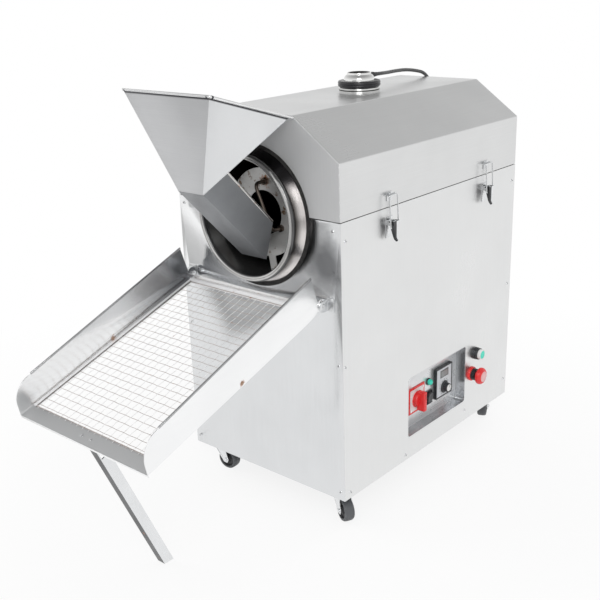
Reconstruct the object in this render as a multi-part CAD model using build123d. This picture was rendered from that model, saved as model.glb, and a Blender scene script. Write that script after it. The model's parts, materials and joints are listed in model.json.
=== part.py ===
from build123d import *
import math
import os

# Seed roasting machine. Millimetres, +Z up from the floor, -Y is the front with the drum mouth,
# +X is the side with the controls. Y is counted from the outer face of the front panel.

# Cabinet
CABINET_W = 434.0
CABINET_L = 654.0
CABINET_Z = 67.0
SEAM_H = 583.0
LID_WALL_H = 110.0
LID_RISE = 78.0
EAVE_H = SEAM_H + LID_WALL_H
LID_TOP_H = EAVE_H + LID_RISE
SEAM_Z = CABINET_Z + SEAM_H
EAVE_Z = CABINET_Z + EAVE_H
LID_TOP_Z = CABINET_Z + LID_TOP_H
LID_FLAT_W = 216.0
SHEET = 1.2
SEAM_GAP = 1.4
HALF_W = CABINET_W / 2
SIDE_IN = HALF_W - SHEET
TUBE = 25.0

# Fits
RUN_FIT = 0.05
FREE_GAP = 0.4

# Drum and mouth, on one axis along Y
AXIS_Z = SEAM_Z - 15.0
NECK_R = 118.0
DRUM_R = 165.0
DRUM_WALL = 2.0
DRUM_FRONT_Y = 85.0
CHAMBER_Y0 = 75.0
CHAMBER_Y1 = CABINET_L - 129.0
DRUM_BACK_Y = CHAMBER_Y1 - 20.0
RIM_Y = -26.0
RIM_BEAD_R = 6.5
SHAFT_R = 12.5
SHAFT_END_Y = CABINET_L - 24.0
FLIGHT_COUNT = 3
FLIGHT_H = 28.0
FLIGHT_T = 3.0
FLIGHT_END_GAP = 30.0
FLIGHT_START = 40.0
COLLAR_R = NECK_R + 18.0
COLLAR_NOSE_R = NECK_R + 5.5
COLLAR_NOSE_Y = -17.0
COLLAR_FLANGE_R = COLLAR_R + 22.0
SEAL_R = COLLAR_R + 8.0
SEAL_PROUD = 1.0
SEAL_CLEAR = 0.6
COLLAR_WALL = 1.5
COLLAR_FLANGE_T = 2.0
COLLAR_FLANGE_DROP = 8.0
BAFFLE_Y = 30.0
BAFFLE_R = NECK_R - 28.0
BAFFLE_HOLE_R = 45.0
LUG_ANGLES = (10.0, 190.0, 280.0)
LUG_W = 18.0
HANDLE_R = 3.5
HANDLE_NUT_R = 7.5
HANDLE_NUT_H = 6.0
HANDLE_REACH = 29.0
HANDLE_TOP = (5.0, 64.0)
HANDLE_LOW = (45.0, -26.0)

# Chamber under and round the drum
INSULATION = 25.0
CHAMBER_HALF_W = DRUM_R + 23.0
CHAMBER_FLOOR_Z = AXIS_Z - DRUM_R - 63.0
LINER_NOTCH_R = NECK_R + 4.0
HEATER_R = 5.0
HEATER_Z = CHAMBER_FLOOR_Z + 25.0
HEATER_BEND_R = 25.0
HEATER_XS = (-100.0, 0.0, 100.0)
TROUGH_DROP = 3.0
TROUGH_SHAFT_GAP = 8.0

# Frame bars
MID_POST_YS = (CHAMBER_Y0 + 15.0, CHAMBER_Y1 - 12.0)
MOTOR_BAR_YS = (CABINET_L - 179.0, CABINET_L - 92.0)
POST_DROP = 12.0
CHAMBER_BAR_Z = CHAMBER_FLOOR_Z - INSULATION - TUBE
ROLLER_BAR_Z = AXIS_Z - COLLAR_FLANGE_R - 32.0
BEARING_BAR_Y = CABINET_L - 96.0
BEARING_R = 34.0
BEARING_BAR_Z = AXIS_Z - BEARING_R - 2.5
BEARING_FOOT_W = 130.0
BEARING_FOOT_H = 14.0

# Drive
ROLLER_R = 20.0
ROLLER_ANGLE = 40.0
ROLLER_Y = (33.0, 51.0)
ROLLER_PIN_R = 5.0
ROLLER_PLATE_W = 20.0
ROLLER_PLATE_T = 4.0
MOTOR_Z = CABINET_Z + 100.0
PULLEY_Y = (CABINET_L - 54.0, CABINET_L - 36.0)
DRUM_PULLEY_R = 80.0
MOTOR_PULLEY_R = 30.0
GROOVE_DEPTH = 10.0
BELT_W = 10.0
BELT_T = 7.0
MOTOR_SHAFT_R = 7.5
MOTOR_R = 43.0
MOTOR_L = 125.0
GEARBOX_Y = (CABINET_L - 149.0, CABINET_L - 64.0)
GEARBOX_W = 90.0
MOTOR_FOOT_W = 120.0
MOTOR_FOOT_T = 5.0

# Hopper and chute
HOPPER_TOP_HALF = 111.5
HOPPER_LOW_HALF = 33.0
HOPPER_LOW = (-164.0, SEAM_Z + 62.0)
HOPPER_FRONT_TOP = (-207.5, HOPPER_LOW[1] + 184.0)
HOPPER_BACK_TOP = (-13.0, HOPPER_LOW[1] + 125.0)
HOPPER_HEM_R = 2.5
HOPPER_STRIP = 1.0
HOPPER_HEM_TAIL = 11.0
CHUTE_SLOPE = 45.5
CHUTE_END_Y = -6.0
CHUTE_WALL_H = 57.0
CHUTE_SPLAY = 22.0
PEG = 12.0
PEG_TOP = (-140.0, -40.0)
PEG_L = 44.0
SLEEVE_WALL = 2.1
SLEEVE_L = 38.0
ARM_T = 5.0
ARM_W = 18.0
ARM_X = 39.0 - HALF_W
ARM_FOOT_T = 4.0
ARM_FOOT_X = (31.0 - HALF_W, 61.0 - HALF_W)
ARM_FOOT_Z = (SEAM_Z - 21.0, SEAM_Z - 3.0)
ARM_TOP_Z = SEAM_Z + 133.0
ARM_HEAD_H = 20.0
ARM_HEAD_X = PEG_TOP[0] + 9.0

# Tray, sloping down to the front from its pins
TRAY_PIN_Y = -14.0
TRAY_PIN_Z = AXIS_Z - 148.0
TRAY_SLOPE = 18.6
TRAY_HALF_W = 180.0
TRAY_L = 475.0
TRAY_BACK = -8.0
TRAY_BACK_H = 77.0
TRAY_FRONT_H = 58.0
TRAY_STRIP = 13.0
TRAY_CORNER_R = 45.0
TRAY_FRONT_LEAN = 8.0
TRAY_FLOOR = -4.0
TRAY_SILL_H = 14.0
TRAY_HEM_R = 2.2
TRAY_LIP = 32.0
TRAY_LIP_TURN = 5.0
TRAY_PIN_R = 5.0
TRAY_PIN_H = 6.0
TRAY_BOSS_R = 13.0
TRAY_BOSS_T = 1.5
EAR_T = 4.0
EAR_R = 12.0
EAR_TAB = (14.0, 3.0, 14.0)
MESH_PITCH = (21.9, 20.9)
MESH_BAR = 2.2
MESH_T = 1.6
MESH_LAP = 6.0
MESH_COLUMNS = 15
MESH_ROWS = 20
LEG_W = 20.0
LEG_T = 2.5
LEG_WEB_START = 40.0
LEG_PAST_FLOOR = 20.0
LEG_PIN_R = 3.0
LEG_EYE_R = 6.0
LEG_DROP = 12.0
LEG_BEHIND_LIP = 15.0
CLEVIS_T = 3.0
CLEVIS_R = 7.0
CLEVIS_GAP = 0.9
LEG_FOOT_Y = -308.0

# Casters
CASTER_INSET = 41.0
WHEEL_R = 25.0
WHEEL_W = 22.0
CASTER_TRAIL = 18.0
PLATE_T = 3.0
PLATE_W = 60.0
FORK_TOP_Z = CABINET_Z - PLATE_T - FREE_GAP
FORK_HEAD_R = 20.0
FORK_HEAD_H = 10.0
FORK_SHEET = 2.5
FORK_GAP = 1.5
FORK_BACK = -14.0
FORK_FRONT = 16.0
PEDAL_W = 18.0
KING_PIN_R = 5.0
KING_PIN_L = 9.0
AXLE_R = 4.0
CASTER_HEADINGS = {"front_right": -27.0, "front_left": 5.0, "rear_right": 115.0, "rear_left": 100.0}

# Controls, (y, z) on the right side
RECESS_Y = (CABINET_L - 429.0, CABINET_L - 198.0)
RECESS_Z = (CABINET_Z + 52.0, CABINET_Z + 190.0)
RECESS_DEPTH = 26.0
RECESS_R = 6.0
FACE_X = HALF_W - RECESS_DEPTH
ISOLATOR = (RECESS_Y[0] + 67.0, CABINET_Z + 113.0)
ISOLATOR_SIZE = 62.0
ISOLATOR_PLATE_T = 3.0
ISOLATOR_BOSS_H = 5.0
LAMP = (RECESS_Y[0] + 115.0, CABINET_Z + 137.0)
LAMP_BEZEL = (8.5, 3.0)
LAMP_LENS = (7.0, 11.0)
ROCKER = (RECESS_Y[0] + 117.5, CABINET_Z + 98.0)
ROCKER_FRAME = (22.0, 32.0)
ROCKER_RIM = 3.0
ROCKER_KEY = (15.0, 24.0)
ROCKER_TILT = 8.0
ROCKER_PIVOT_X = FACE_X + 2.5
ROCKER_PIN_R = 1.0
ROCKER_PIN_IN = 2.0
ROCKER_FRAME_H = 4.0
ROCKER_FLOOR = 0.5
SPEED = (RECESS_Y[1] - 61.0, CABINET_Z + 121.0)
SPEED_W = 66.0
SPEED_H = 74.0
SPEED_PROUD = 9.0
SPEED_RIM = 3.0
SPEED_SINK = 1.5
SPEED_RAISE = 1.0
SPEED_DIAL_R = 19.0
SPEED_WINDOW = (30.0, 15.0)
SPEED_WINDOW_UP = 20.0
SPEED_KNOB_R = 15.0
SPEED_KNOB_H = 13.0
SPEED_KNOB_DROP = 14.0
START = (CABINET_L - 153.0, CABINET_Z + 159.0)
STOP = (CABINET_L - 168.5, CABINET_Z + 112.0)
BUTTON_STEM_R = 11.0
BUTTON_STEM_L = 30.0
BUTTON_FLANGE_R = 17.0
BUTTON_TRAVEL = 4.0
START_FLANGE_R = 14.5
START_R = 12.0
START_L = 12.5
START_CUP = 3.0
START_COLLAR_H = 12.0
START_COLLAR_R = 13.8
STOP_STEM_R = 8.0
STOP_CUP = 2.0
STOP_COLLAR_H = 15.0
STOP_FREE = BUTTON_TRAVEL + 1.0
STOP_HEAD_R = 20.0
STOP_REACH = 34.0

# Latches and hinges
LATCH_YS = {"front": 152.0, "rear": CABINET_L - 139.0}
LATCH_PIVOT_X = HALF_W + 9.0
LATCH_PIVOT_Z = SEAM_Z - 30.0
LATCH_PIN_R = 2.0
LATCH_PLATE = (22.0, 1.5)
LATCH_EAR_Y = 6.5
LATCH_EAR_R = 5.0
LATCH_CHEEK_Y = 9.0
LATCH_CHEEK_T = 1.8
BAIL_PIVOT = (LATCH_PIVOT_X + 5.0, LATCH_PIVOT_Z - 8.0)
BAIL_TOP_X = HALF_W + 10.8
BAIL_HALF_W = 13.0
BAIL_TIP_Y = 8.3
BAIL_WIRE_R = 1.4
KEEPER_Z = SEAM_Z + 22.0
HINGE_YS = (120.0, CABINET_L - 120.0)
HINGE_R = 4.0
HINGE_PIN_R = 2.0
HINGE_X = -HALF_W - HINGE_R
HINGE_L = 60.0
HINGE_KNUCKLE = 15.0
HINGE_LEAF_T = 1.5
HINGE_LEAF_H = 28.0

# Vent and its lead
VENT_Y = CABINET_L / 2 + 18.0
VENT_BORE_R = 22.0
OUTLET_R = 23.5
OUTLET_H = 16.5
OUTLET_WALL = 2.5
VENT_BASE_R = 44.0
VENT_BASE_H = 11.0
VENT_RING_R = 46.0
VENT_RING_H = 13.0
VENT_RING_ROUND = 5.0
DOME_ROOT_R = VENT_BORE_R + 9.0
DOME_R = 33.0
CORD_R = 4.0
GLAND_WALL = 1.6
LEAD_Z = LID_TOP_Z + VENT_BASE_H + VENT_RING_H + 6.4
GLAND = (-36.0, LID_TOP_Z - 104.0)
CORD_POINTS = [
    (0.0, VENT_Y + 44.0, LEAD_Z),
    (0.0, VENT_Y + 74.0, LEAD_Z),
    (-10.0, VENT_Y + 116.0, LID_TOP_Z + 28.0),
    (-20.0, CABINET_L - 143.0, LID_TOP_Z + 27.0),
    (-28.0, CABINET_L - 93.0, LID_TOP_Z + 24.5),
    (-34.0, CABINET_L - 44.0, LID_TOP_Z + 18.0),
    (-38.0, CABINET_L + 4.0, LID_TOP_Z + 8.0),
    (-38.0, CABINET_L + 36.0, LID_TOP_Z - 26.0),
    (-38.0, CABINET_L + 44.0, LID_TOP_Z - 64.0),
    (-37.0, CABINET_L + 36.0, LID_TOP_Z - 92.0),
    (-36.0, CABINET_L + 20.0, GLAND[1]),
    (-36.0, CABINET_L + 4.0, GLAND[1]),
]

# Sheet screws: inset from the side and height, then y from the front and height, over the cabinet's bottom
SCREW_R = 3.6
SCREW_H = 1.6
SCREW_ROUND = 1.0
FRONT_SCREWS_RIGHT = [(18, 565), (10, 297), (11, 18)]
FRONT_SCREWS_LEFT = [(13, 567), (10, 297), (11, 18)]
REAR_SCREW_Y = CABINET_L - 14
SIDE_SCREWS = [(14, 546), (8, 294), (19, 14), (215, 13), (458, 27)]
SIDE_SCREWS += [(REAR_SCREW_Y, height) for height in (43, 294, 546)]


def block(x0, x1, y0, y1, z0, z1):
    return Pos((x0 + x1) / 2, (y0 + y1) / 2, (z0 + z1) / 2) * Box(x1 - x0, y1 - y0, z1 - z0)


def rod_x(x0, x1, y, z, radius):
    return Pos((x0 + x1) / 2, y, z) * Rot(Y=90) * Cylinder(radius, x1 - x0)


def rod_y(y0, y1, x, z, radius):
    return Pos(x, (y0 + y1) / 2, z) * Rot(X=90) * Cylinder(radius, y1 - y0)


def rod_z(z0, z1, x, y, radius):
    return Pos(x, y, (z0 + z1) / 2) * Cylinder(radius, z1 - z0)


def rod_between(start, end, radius):
    a = Vector(*start)
    b = Vector(*end)
    return Solid.make_cylinder(radius, (b - a).length, Plane(origin=a, z_dir=b - a))


def prism_x(points_yz, x0, x1):
    face = make_face(Polyline(*[(x0, y, z) for y, z in points_yz], close=True))
    return extrude(face, x1 - x0, dir=(1, 0, 0))


def prism_y(points_xz, y0, y1):
    face = make_face(Polyline(*[(x, y0, z) for x, z in points_xz], close=True))
    return extrude(face, y1 - y0, dir=(0, 1, 0))


def turned_y(radius_y, x=0.0, z=0.0):
    face = make_face(Polyline(*radius_y, close=True))
    return Pos(x, 0, z) * revolve(face, Axis.Y)


def turned_x(x_radius, y, z):
    face = make_face(Polyline(*x_radius, close=True))
    return Pos(0, y, z) * revolve(face, Axis.X)


def turned_z(radius_z, x, y):
    face = make_face(Polyline(*[(r, 0, z) for r, z in radius_z], close=True))
    return Pos(x, y, 0) * revolve(face, Axis.Z)


def half_space(point, inward):
    return Plane(origin=point, z_dir=inward) * Pos(0, 0, 1000) * Box(4000, 4000, 2000)


def fused(pieces):
    whole = pieces[0]
    for piece in pieces[1:]:
        whole = whole + piece
    return whole


def base_frame():
    """Square tube: corner posts, bottom rails, and bars for the rollers, chamber, bearing and motor."""
    x0, x1 = -SIDE_IN, SIDE_IN
    y0, y1 = SHEET, CABINET_L - SHEET
    z0 = CABINET_Z
    post_top = SEAM_Z - POST_DROP
    pieces = []
    for xa, xb in ((x0, x0 + TUBE), (x1 - TUBE, x1)):
        pieces.append(block(xa, xb, y0, y1, z0, z0 + TUBE))
        for ya in (y0, y1 - TUBE):
            pieces.append(block(xa, xb, ya, ya + TUBE, z0, post_top))
        for ya in MID_POST_YS:
            pieces.append(block(xa, xb, ya, ya + TUBE, z0, CHAMBER_FLOOR_Z - INSULATION))
        pieces.append(block(xa, xb, BEARING_BAR_Y, y1, BEARING_BAR_Z - TUBE, BEARING_BAR_Z))
    for ya in (y0, y1 - TUBE):
        pieces.append(block(x0, x1, ya, ya + TUBE, z0, z0 + TUBE))
    for ya in MOTOR_BAR_YS:
        pieces.append(block(x0, x1, ya, ya + TUBE, z0 + TUBE, z0 + 2 * TUBE))
    for ya in MID_POST_YS:
        pieces.append(block(x0, x1, ya, ya + TUBE, CHAMBER_BAR_Z, CHAMBER_BAR_Z + TUBE))
    pieces.append(block(x0, x1, y0, y0 + TUBE, ROLLER_BAR_Z, ROLLER_BAR_Z + TUBE))
    pieces.append(block(x0, x1, BEARING_BAR_Y, BEARING_BAR_Y + TUBE, BEARING_BAR_Z - TUBE, BEARING_BAR_Z))
    return fused(pieces + roller_brackets())


def front_panel():
    """Front sheet, notched for the mouth, with the tray's ears welded on."""
    sheet = block(-HALF_W, HALF_W, 0, SHEET, CABINET_Z, SEAM_Z - SEAM_GAP / 2)
    sheet = sheet - rod_y(-1, SHEET + 1, 0, AXIS_Z, SEAL_R)
    return fused([sheet] + tray_ears())


def recess_outline(grow):
    height = RECESS_Z[1] - RECESS_Z[0] + 2 * grow
    width = RECESS_Y[1] - RECESS_Y[0] + 2 * grow
    face = RectangleRounded(width, height, RECESS_R + grow)
    mid = ((RECESS_Y[0] + RECESS_Y[1]) / 2, (RECESS_Z[0] + RECESS_Z[1]) / 2)
    return Plane(origin=(FACE_X, mid[0], mid[1]), x_dir=(0, 1, 0), z_dir=(1, 0, 0)) * face


def right_panel():
    sheet = block(SIDE_IN, HALF_W, SHEET, CABINET_L - SHEET, CABINET_Z, SEAM_Z - SEAM_GAP / 2)
    sheet = sheet - extrude(recess_outline(SHEET), RECESS_DEPTH + 5)
    for y, z in (START, STOP):
        sheet = sheet - rod_x(SIDE_IN - 1, HALF_W + 1, y, z, BUTTON_STEM_R)
    return sheet


def left_panel():
    return block(-HALF_W, -SIDE_IN, SHEET, CABINET_L - SHEET, CABINET_Z, SEAM_Z - SEAM_GAP / 2)


def rear_panel():
    return block(-HALF_W, HALF_W, CABINET_L - SHEET, CABINET_L, CABINET_Z, SEAM_Z - SEAM_GAP / 2)


def control_pan():
    """Pressed recess that sits in the right panel; the controls stand on its floor."""
    outer = Pos(-SHEET, 0, 0) * extrude(recess_outline(SHEET), RECESS_DEPTH + SHEET)
    return outer - extrude(recess_outline(0), RECESS_DEPTH + 5)


def mouth_collar():
    """Tapered sleeve round the drum neck, with a half flange bolted behind the front panel."""
    inner_r = COLLAR_R - COLLAR_WALL
    nose_in = COLLAR_NOSE_R - COLLAR_WALL
    back_y = SHEET + COLLAR_FLANGE_T
    sleeve = turned_y([(nose_in, COLLAR_NOSE_Y), (COLLAR_NOSE_R, COLLAR_NOSE_Y), (COLLAR_R, -SEAL_PROUD),
                       (COLLAR_R, back_y), (inner_r, back_y), (inner_r, -SEAL_PROUD)], z=AXIS_Z)
    flange = turned_y([(inner_r, SHEET), (COLLAR_FLANGE_R, SHEET), (COLLAR_FLANGE_R, back_y),
                       (inner_r, back_y)], z=AXIS_Z)
    below = block(-HALF_W, HALF_W, -1, 10, CABINET_Z, SEAM_Z - COLLAR_FLANGE_DROP)
    return sleeve + (flange & below)


def mouth_seal(upper):
    """Half of the black fibre ring between the collar and the sheet round it."""
    inner_r = COLLAR_R + SEAL_CLEAR if upper else COLLAR_R
    section = [(inner_r, -SEAL_PROUD), (SEAL_R, -SEAL_PROUD), (SEAL_R, SHEET), (inner_r, SHEET)]
    ring = turned_y(section, z=AXIS_Z)
    if upper:
        return ring & block(-HALF_W, HALF_W, -9, 9, SEAM_Z + SEAM_GAP / 2, LID_TOP_Z)
    return ring & block(-HALF_W, HALF_W, -9, 9, CABINET_Z, SEAM_Z - SEAM_GAP / 2)


def hood_profile(inset, low_z):
    """The lid's cross section, offset inwards by inset."""
    half = LID_FLAT_W / 2
    slope = math.atan2(LID_TOP_Z - EAVE_Z, HALF_W - half)
    bend_shift = inset * math.tan(slope / 2)
    x_eave = HALF_W - inset
    z_eave = EAVE_Z - bend_shift
    x_top = half - bend_shift
    z_top = LID_TOP_Z - inset
    right = [(x_top, z_top), (x_eave, z_eave), (x_eave, low_z)]
    return [(-x, z) for x, z in reversed(right)] + right


def lid_shell():
    low = SEAM_Z + SEAM_GAP / 2
    outer = prism_y(hood_profile(0, low), 0, CABINET_L)
    inner = prism_y(hood_profile(SHEET, low - 5), SHEET, CABINET_L - SHEET)
    shell = outer - inner - rod_y(-1, SHEET + 1, 0, AXIS_Z, SEAL_R)
    shell = shell - rod_z(LID_TOP_Z - 5, LID_TOP_Z + 5, 0, VENT_Y, VENT_BORE_R)
    shell = shell - rod_y(CABINET_L - 5, CABINET_L + 5, GLAND[0], GLAND[1], CORD_R)
    return shell + vent_base()


def lid_liner():
    """Inner hood of the lid; its front wall clears the drum neck."""
    low = SEAM_Z + SEAM_GAP / 2
    outer = prism_y(hood_profile(INSULATION, low), CHAMBER_Y0, CHAMBER_Y1)
    inner = prism_y(hood_profile(INSULATION + SHEET, low - 5), CHAMBER_Y0 + SHEET, CHAMBER_Y1 - SHEET)
    liner = outer - inner - rod_y(CHAMBER_Y0 - 1, CHAMBER_Y0 + 5, 0, AXIS_Z, LINER_NOTCH_R)
    return liner - rod_z(LID_TOP_Z - INSULATION - 5, LID_TOP_Z, 0, VENT_Y, VENT_BORE_R)


def lid_insulation():
    low = SEAM_Z + SEAM_GAP / 2 + 2.0
    outer = prism_y(hood_profile(SHEET, low), CHAMBER_Y0, CHAMBER_Y1)
    inner = prism_y(hood_profile(INSULATION, low - 5), CHAMBER_Y0 - 5, CHAMBER_Y1 + 5)
    return outer - inner - rod_z(LID_TOP_Z - INSULATION - 5, LID_TOP_Z, 0, VENT_Y, VENT_BORE_R)


def chamber_trough():
    top = SEAM_Z - TROUGH_DROP
    outer = block(-CHAMBER_HALF_W, CHAMBER_HALF_W, CHAMBER_Y0, CHAMBER_Y1, CHAMBER_FLOOR_Z, top)
    inner = block(-CHAMBER_HALF_W + SHEET, CHAMBER_HALF_W - SHEET, CHAMBER_Y0 + SHEET, CHAMBER_Y1 - SHEET,
                  CHAMBER_FLOOR_Z + SHEET, top + 5)
    trough = outer - inner - rod_y(CHAMBER_Y0 - 1, CHAMBER_Y0 + 5, 0, AXIS_Z, LINER_NOTCH_R)
    slot_r = SHAFT_R + TROUGH_SHAFT_GAP
    trough = trough - rod_y(CHAMBER_Y1 - 5, CHAMBER_Y1 + 1, 0, AXIS_Z, slot_r)
    trough = trough - block(-slot_r, slot_r, CHAMBER_Y1 - 5, CHAMBER_Y1 + 1, AXIS_Z, top + 5)
    for x in HEATER_XS:
        for side in (-HEATER_BEND_R, HEATER_BEND_R):
            trough = trough - rod_y(CHAMBER_Y1 - 5, CHAMBER_Y1 + 1, x + side, HEATER_Z, HEATER_R)
    return trough


def insulation():
    """Fibre slabs beside and under the trough, a group of three."""
    top = SEAM_Z - TROUGH_DROP
    side = block(CHAMBER_HALF_W, SIDE_IN, CHAMBER_Y0, CHAMBER_Y1, CHAMBER_FLOOR_Z, top)
    floor = block(-SIDE_IN, SIDE_IN, CHAMBER_Y0, CHAMBER_Y1, CHAMBER_FLOOR_Z - INSULATION, CHAMBER_FLOOR_Z)
    return [side, mirror(side, about=Plane.YZ), floor]


def heater_rods():
    rods = []
    y0, y1 = CHAMBER_Y0 + 60.0, CHAMBER_Y1 + 16.0
    for x in HEATER_XS:
        path = Polyline((x - HEATER_BEND_R, y1, HEATER_Z), (x - HEATER_BEND_R, y0, HEATER_Z))
        path = path + ThreePointArc((x - HEATER_BEND_R, y0, HEATER_Z), (x, y0 - HEATER_BEND_R, HEATER_Z),
                                    (x + HEATER_BEND_R, y0, HEATER_Z))
        path = path + Line((x + HEATER_BEND_R, y0, HEATER_Z), (x + HEATER_BEND_R, y1, HEATER_Z))
        section = Plane(origin=(x - HEATER_BEND_R, y1, HEATER_Z), z_dir=(0, -1, 0)) * Circle(HEATER_R)
        rod = sweep(section, path)
        for side in (-HEATER_BEND_R, HEATER_BEND_R):
            rod = rod + rod_y(CHAMBER_Y1, CHAMBER_Y1 + 5, x + side, HEATER_Z, 2 * HEATER_R)
        rods.append(rod)
    return rods


def drum():
    """Neck, front plate, shell, back plate and stub shaft, one welded piece with its lifting flights."""
    neck_in = NECK_R - DRUM_WALL
    shell_in = DRUM_R - DRUM_WALL
    step_y = DRUM_FRONT_Y + DRUM_WALL
    shell = turned_y([(neck_in, RIM_Y), (neck_in, step_y), (shell_in, step_y), (shell_in, DRUM_BACK_Y),
                      (DRUM_R, DRUM_BACK_Y), (DRUM_R, DRUM_FRONT_Y), (NECK_R, DRUM_FRONT_Y), (NECK_R, RIM_Y)],
                     z=AXIS_Z)
    back = rod_y(DRUM_BACK_Y - DRUM_WALL, DRUM_BACK_Y, 0, AXIS_Z, DRUM_R)
    shaft = rod_y(DRUM_BACK_Y - DRUM_WALL, SHAFT_END_Y, 0, AXIS_Z, SHAFT_R)
    bead = Pos(0, RIM_Y, AXIS_Z) * Rot(X=90) * Torus(neck_in + RIM_BEAD_R - 0.6, RIM_BEAD_R)
    body = shell + back + shaft + bead
    flight = block(-FLIGHT_T / 2, FLIGHT_T / 2, DRUM_FRONT_Y + FLIGHT_END_GAP, DRUM_BACK_Y - FLIGHT_END_GAP,
                   shell_in - FLIGHT_H, shell_in + 1)
    for i in range(FLIGHT_COUNT):
        body = body + Pos(0, 0, AXIS_Z) * Rot(Y=360 / FLIGHT_COUNT * i + FLIGHT_START) * flight
    return body


def mouth_baffle():
    ring = turned_y([(BAFFLE_HOLE_R, BAFFLE_Y), (BAFFLE_R, BAFFLE_Y), (BAFFLE_R, BAFFLE_Y + DRUM_WALL),
                     (BAFFLE_HOLE_R, BAFFLE_Y + DRUM_WALL)])
    lug = block(BAFFLE_R - 4, NECK_R + 5, BAFFLE_Y, BAFFLE_Y + DRUM_WALL, -LUG_W / 2, LUG_W / 2)
    bore = rod_y(BAFFLE_Y - 5, BAFFLE_Y + 10, 0, 0, NECK_R - DRUM_WALL)
    for angle in LUG_ANGLES:
        ring = ring + ((Rot(Y=-angle) * lug) & bore)
    return Pos(0, 0, AXIS_Z) * ring


def baffle_handle():
    """Bent rod that stands on the baffle, with a nut at each foot."""
    front = BAFFLE_Y - HANDLE_REACH
    corners = [(HANDLE_TOP[0], BAFFLE_Y, HANDLE_TOP[1]), (HANDLE_TOP[0], front, HANDLE_TOP[1]),
               (HANDLE_LOW[0], front, HANDLE_LOW[1]), (HANDLE_LOW[0], BAFFLE_Y, HANDLE_LOW[1])]
    path = FilletPolyline(*corners, radius=3 * HANDLE_R)
    section = Plane(origin=corners[0], z_dir=(0, -1, 0)) * Circle(HANDLE_R)
    rod = sweep(section, path)
    pieces = [Pos(0, 0, AXIS_Z) * rod]
    for x, z in (HANDLE_TOP, HANDLE_LOW):
        face = Plane(origin=(x, BAFFLE_Y, z + AXIS_Z), z_dir=(0, -1, 0)) * RegularPolygon(HANDLE_NUT_R, 6)
        hole = rod_y(BAFFLE_Y - 9, BAFFLE_Y + 1, x, z + AXIS_Z, HANDLE_R)
        pieces.append(extrude(face, HANDLE_NUT_H) - hole)
    return pieces


def roller_spot(side):
    reach = NECK_R + ROLLER_R + FREE_GAP
    angle = math.radians(ROLLER_ANGLE)
    return side * reach * math.sin(angle), AXIS_Z - reach * math.cos(angle)


def roller(side):
    x, z = roller_spot(side)
    return rod_y(ROLLER_Y[0], ROLLER_Y[1], x, z, ROLLER_R) - rod_y(0, 99, x, z, ROLLER_PIN_R + RUN_FIT)


def roller_brackets():
    back = SHEET + TUBE
    brackets = []
    for side in (-1, 1):
        x, z = roller_spot(side)
        half = ROLLER_PLATE_W / 2
        pin_end = ROLLER_Y[1] + ROLLER_PLATE_T
        plate = block(x - half, x + half, back, back + ROLLER_PLATE_T, ROLLER_BAR_Z, z + 8)
        pin = rod_y(back, pin_end, x, z, ROLLER_PIN_R)
        washer = rod_y(ROLLER_Y[1] + FREE_GAP, pin_end, x, z, ROLLER_PIN_R + 4)
        brackets.append(plate + pin + washer)
    return brackets


def rear_bearing():
    y0, y1 = BEARING_BAR_Y, BEARING_BAR_Y + TUBE
    half = BEARING_FOOT_W / 2
    foot = block(-half, half, y0, y1, BEARING_BAR_Z, BEARING_BAR_Z + BEARING_FOOT_H)
    housing = rod_y(y0, y1, 0, AXIS_Z, BEARING_R)
    return foot + housing - rod_y(y0 - 1, y1 + 1, 0, AXIS_Z, SHAFT_R + RUN_FIT)


def pulley(pitch_r, bore_r, z):
    """Single groove pulley, its groove floor below the belt."""
    y0, y1 = PULLEY_Y
    mid = (y0 + y1) / 2
    half = BELT_W / 2 + FREE_GAP
    floor_r = pitch_r - GROOVE_DEPTH
    return turned_y([(bore_r, y0), (pitch_r, y0), (pitch_r, mid - half), (floor_r, mid - half),
                     (floor_r, mid + half), (pitch_r, mid + half), (pitch_r, y1), (bore_r, y1)], z=z)


def drive_belt():
    """Loop round both pulleys, clear of their groove floors."""
    mid = (PULLEY_Y[0] + PULLEY_Y[1]) / 2

    def loop(extra):
        r1 = DRUM_PULLEY_R - GROOVE_DEPTH + FREE_GAP + extra
        r2 = MOTOR_PULLEY_R - GROOVE_DEPTH + FREE_GAP + extra
        span = AXIS_Z - MOTOR_Z
        lean = math.asin((r1 - r2) / span)
        c, s = math.cos(lean), math.sin(lean)
        a = (r1 * c, AXIS_Z - r1 * s)
        b = (r2 * c, MOTOR_Z - r2 * s)
        outline = [Line((a[0], a[1]), (b[0], b[1])), ThreePointArc(b, (0, MOTOR_Z - r2), (-b[0], b[1])),
                   Line((-b[0], b[1]), (-a[0], a[1])), ThreePointArc((-a[0], a[1]), (0, AXIS_Z + r1), a)]
        face = make_face(Wire([edge for part in outline for edge in part.edges()]))
        side = Plane(origin=(0, mid + BELT_W / 2, 0), x_dir=(1, 0, 0), z_dir=(0, -1, 0))
        return extrude(side * face, BELT_W)

    return loop(BELT_T) - loop(0.0)


def gearmotor():
    bar_top = CABINET_Z + 2 * TUBE
    y0, y1 = GEARBOX_Y
    half = GEARBOX_W / 2
    foot_half = MOTOR_FOOT_W / 2
    gear = block(-half, half, y0, y1, bar_top + MOTOR_FOOT_T, MOTOR_Z + half)
    motor = rod_y(y0 - MOTOR_L, y0, 0, MOTOR_Z, MOTOR_R)
    foot = block(-foot_half, foot_half, MOTOR_BAR_YS[0], y1, bar_top, bar_top + MOTOR_FOOT_T)
    shaft = rod_y(y1, y1 + 6, 0, MOTOR_Z, MOTOR_SHAFT_R)
    return gear + motor + foot + shaft


def motor_pulley():
    y0, y1 = PULLEY_Y
    stub = rod_y(y0 - 2, y1, 0, MOTOR_Z, MOTOR_SHAFT_R)
    return pulley(MOTOR_PULLEY_R, MOTOR_SHAFT_R - 1, MOTOR_Z) + stub


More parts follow.
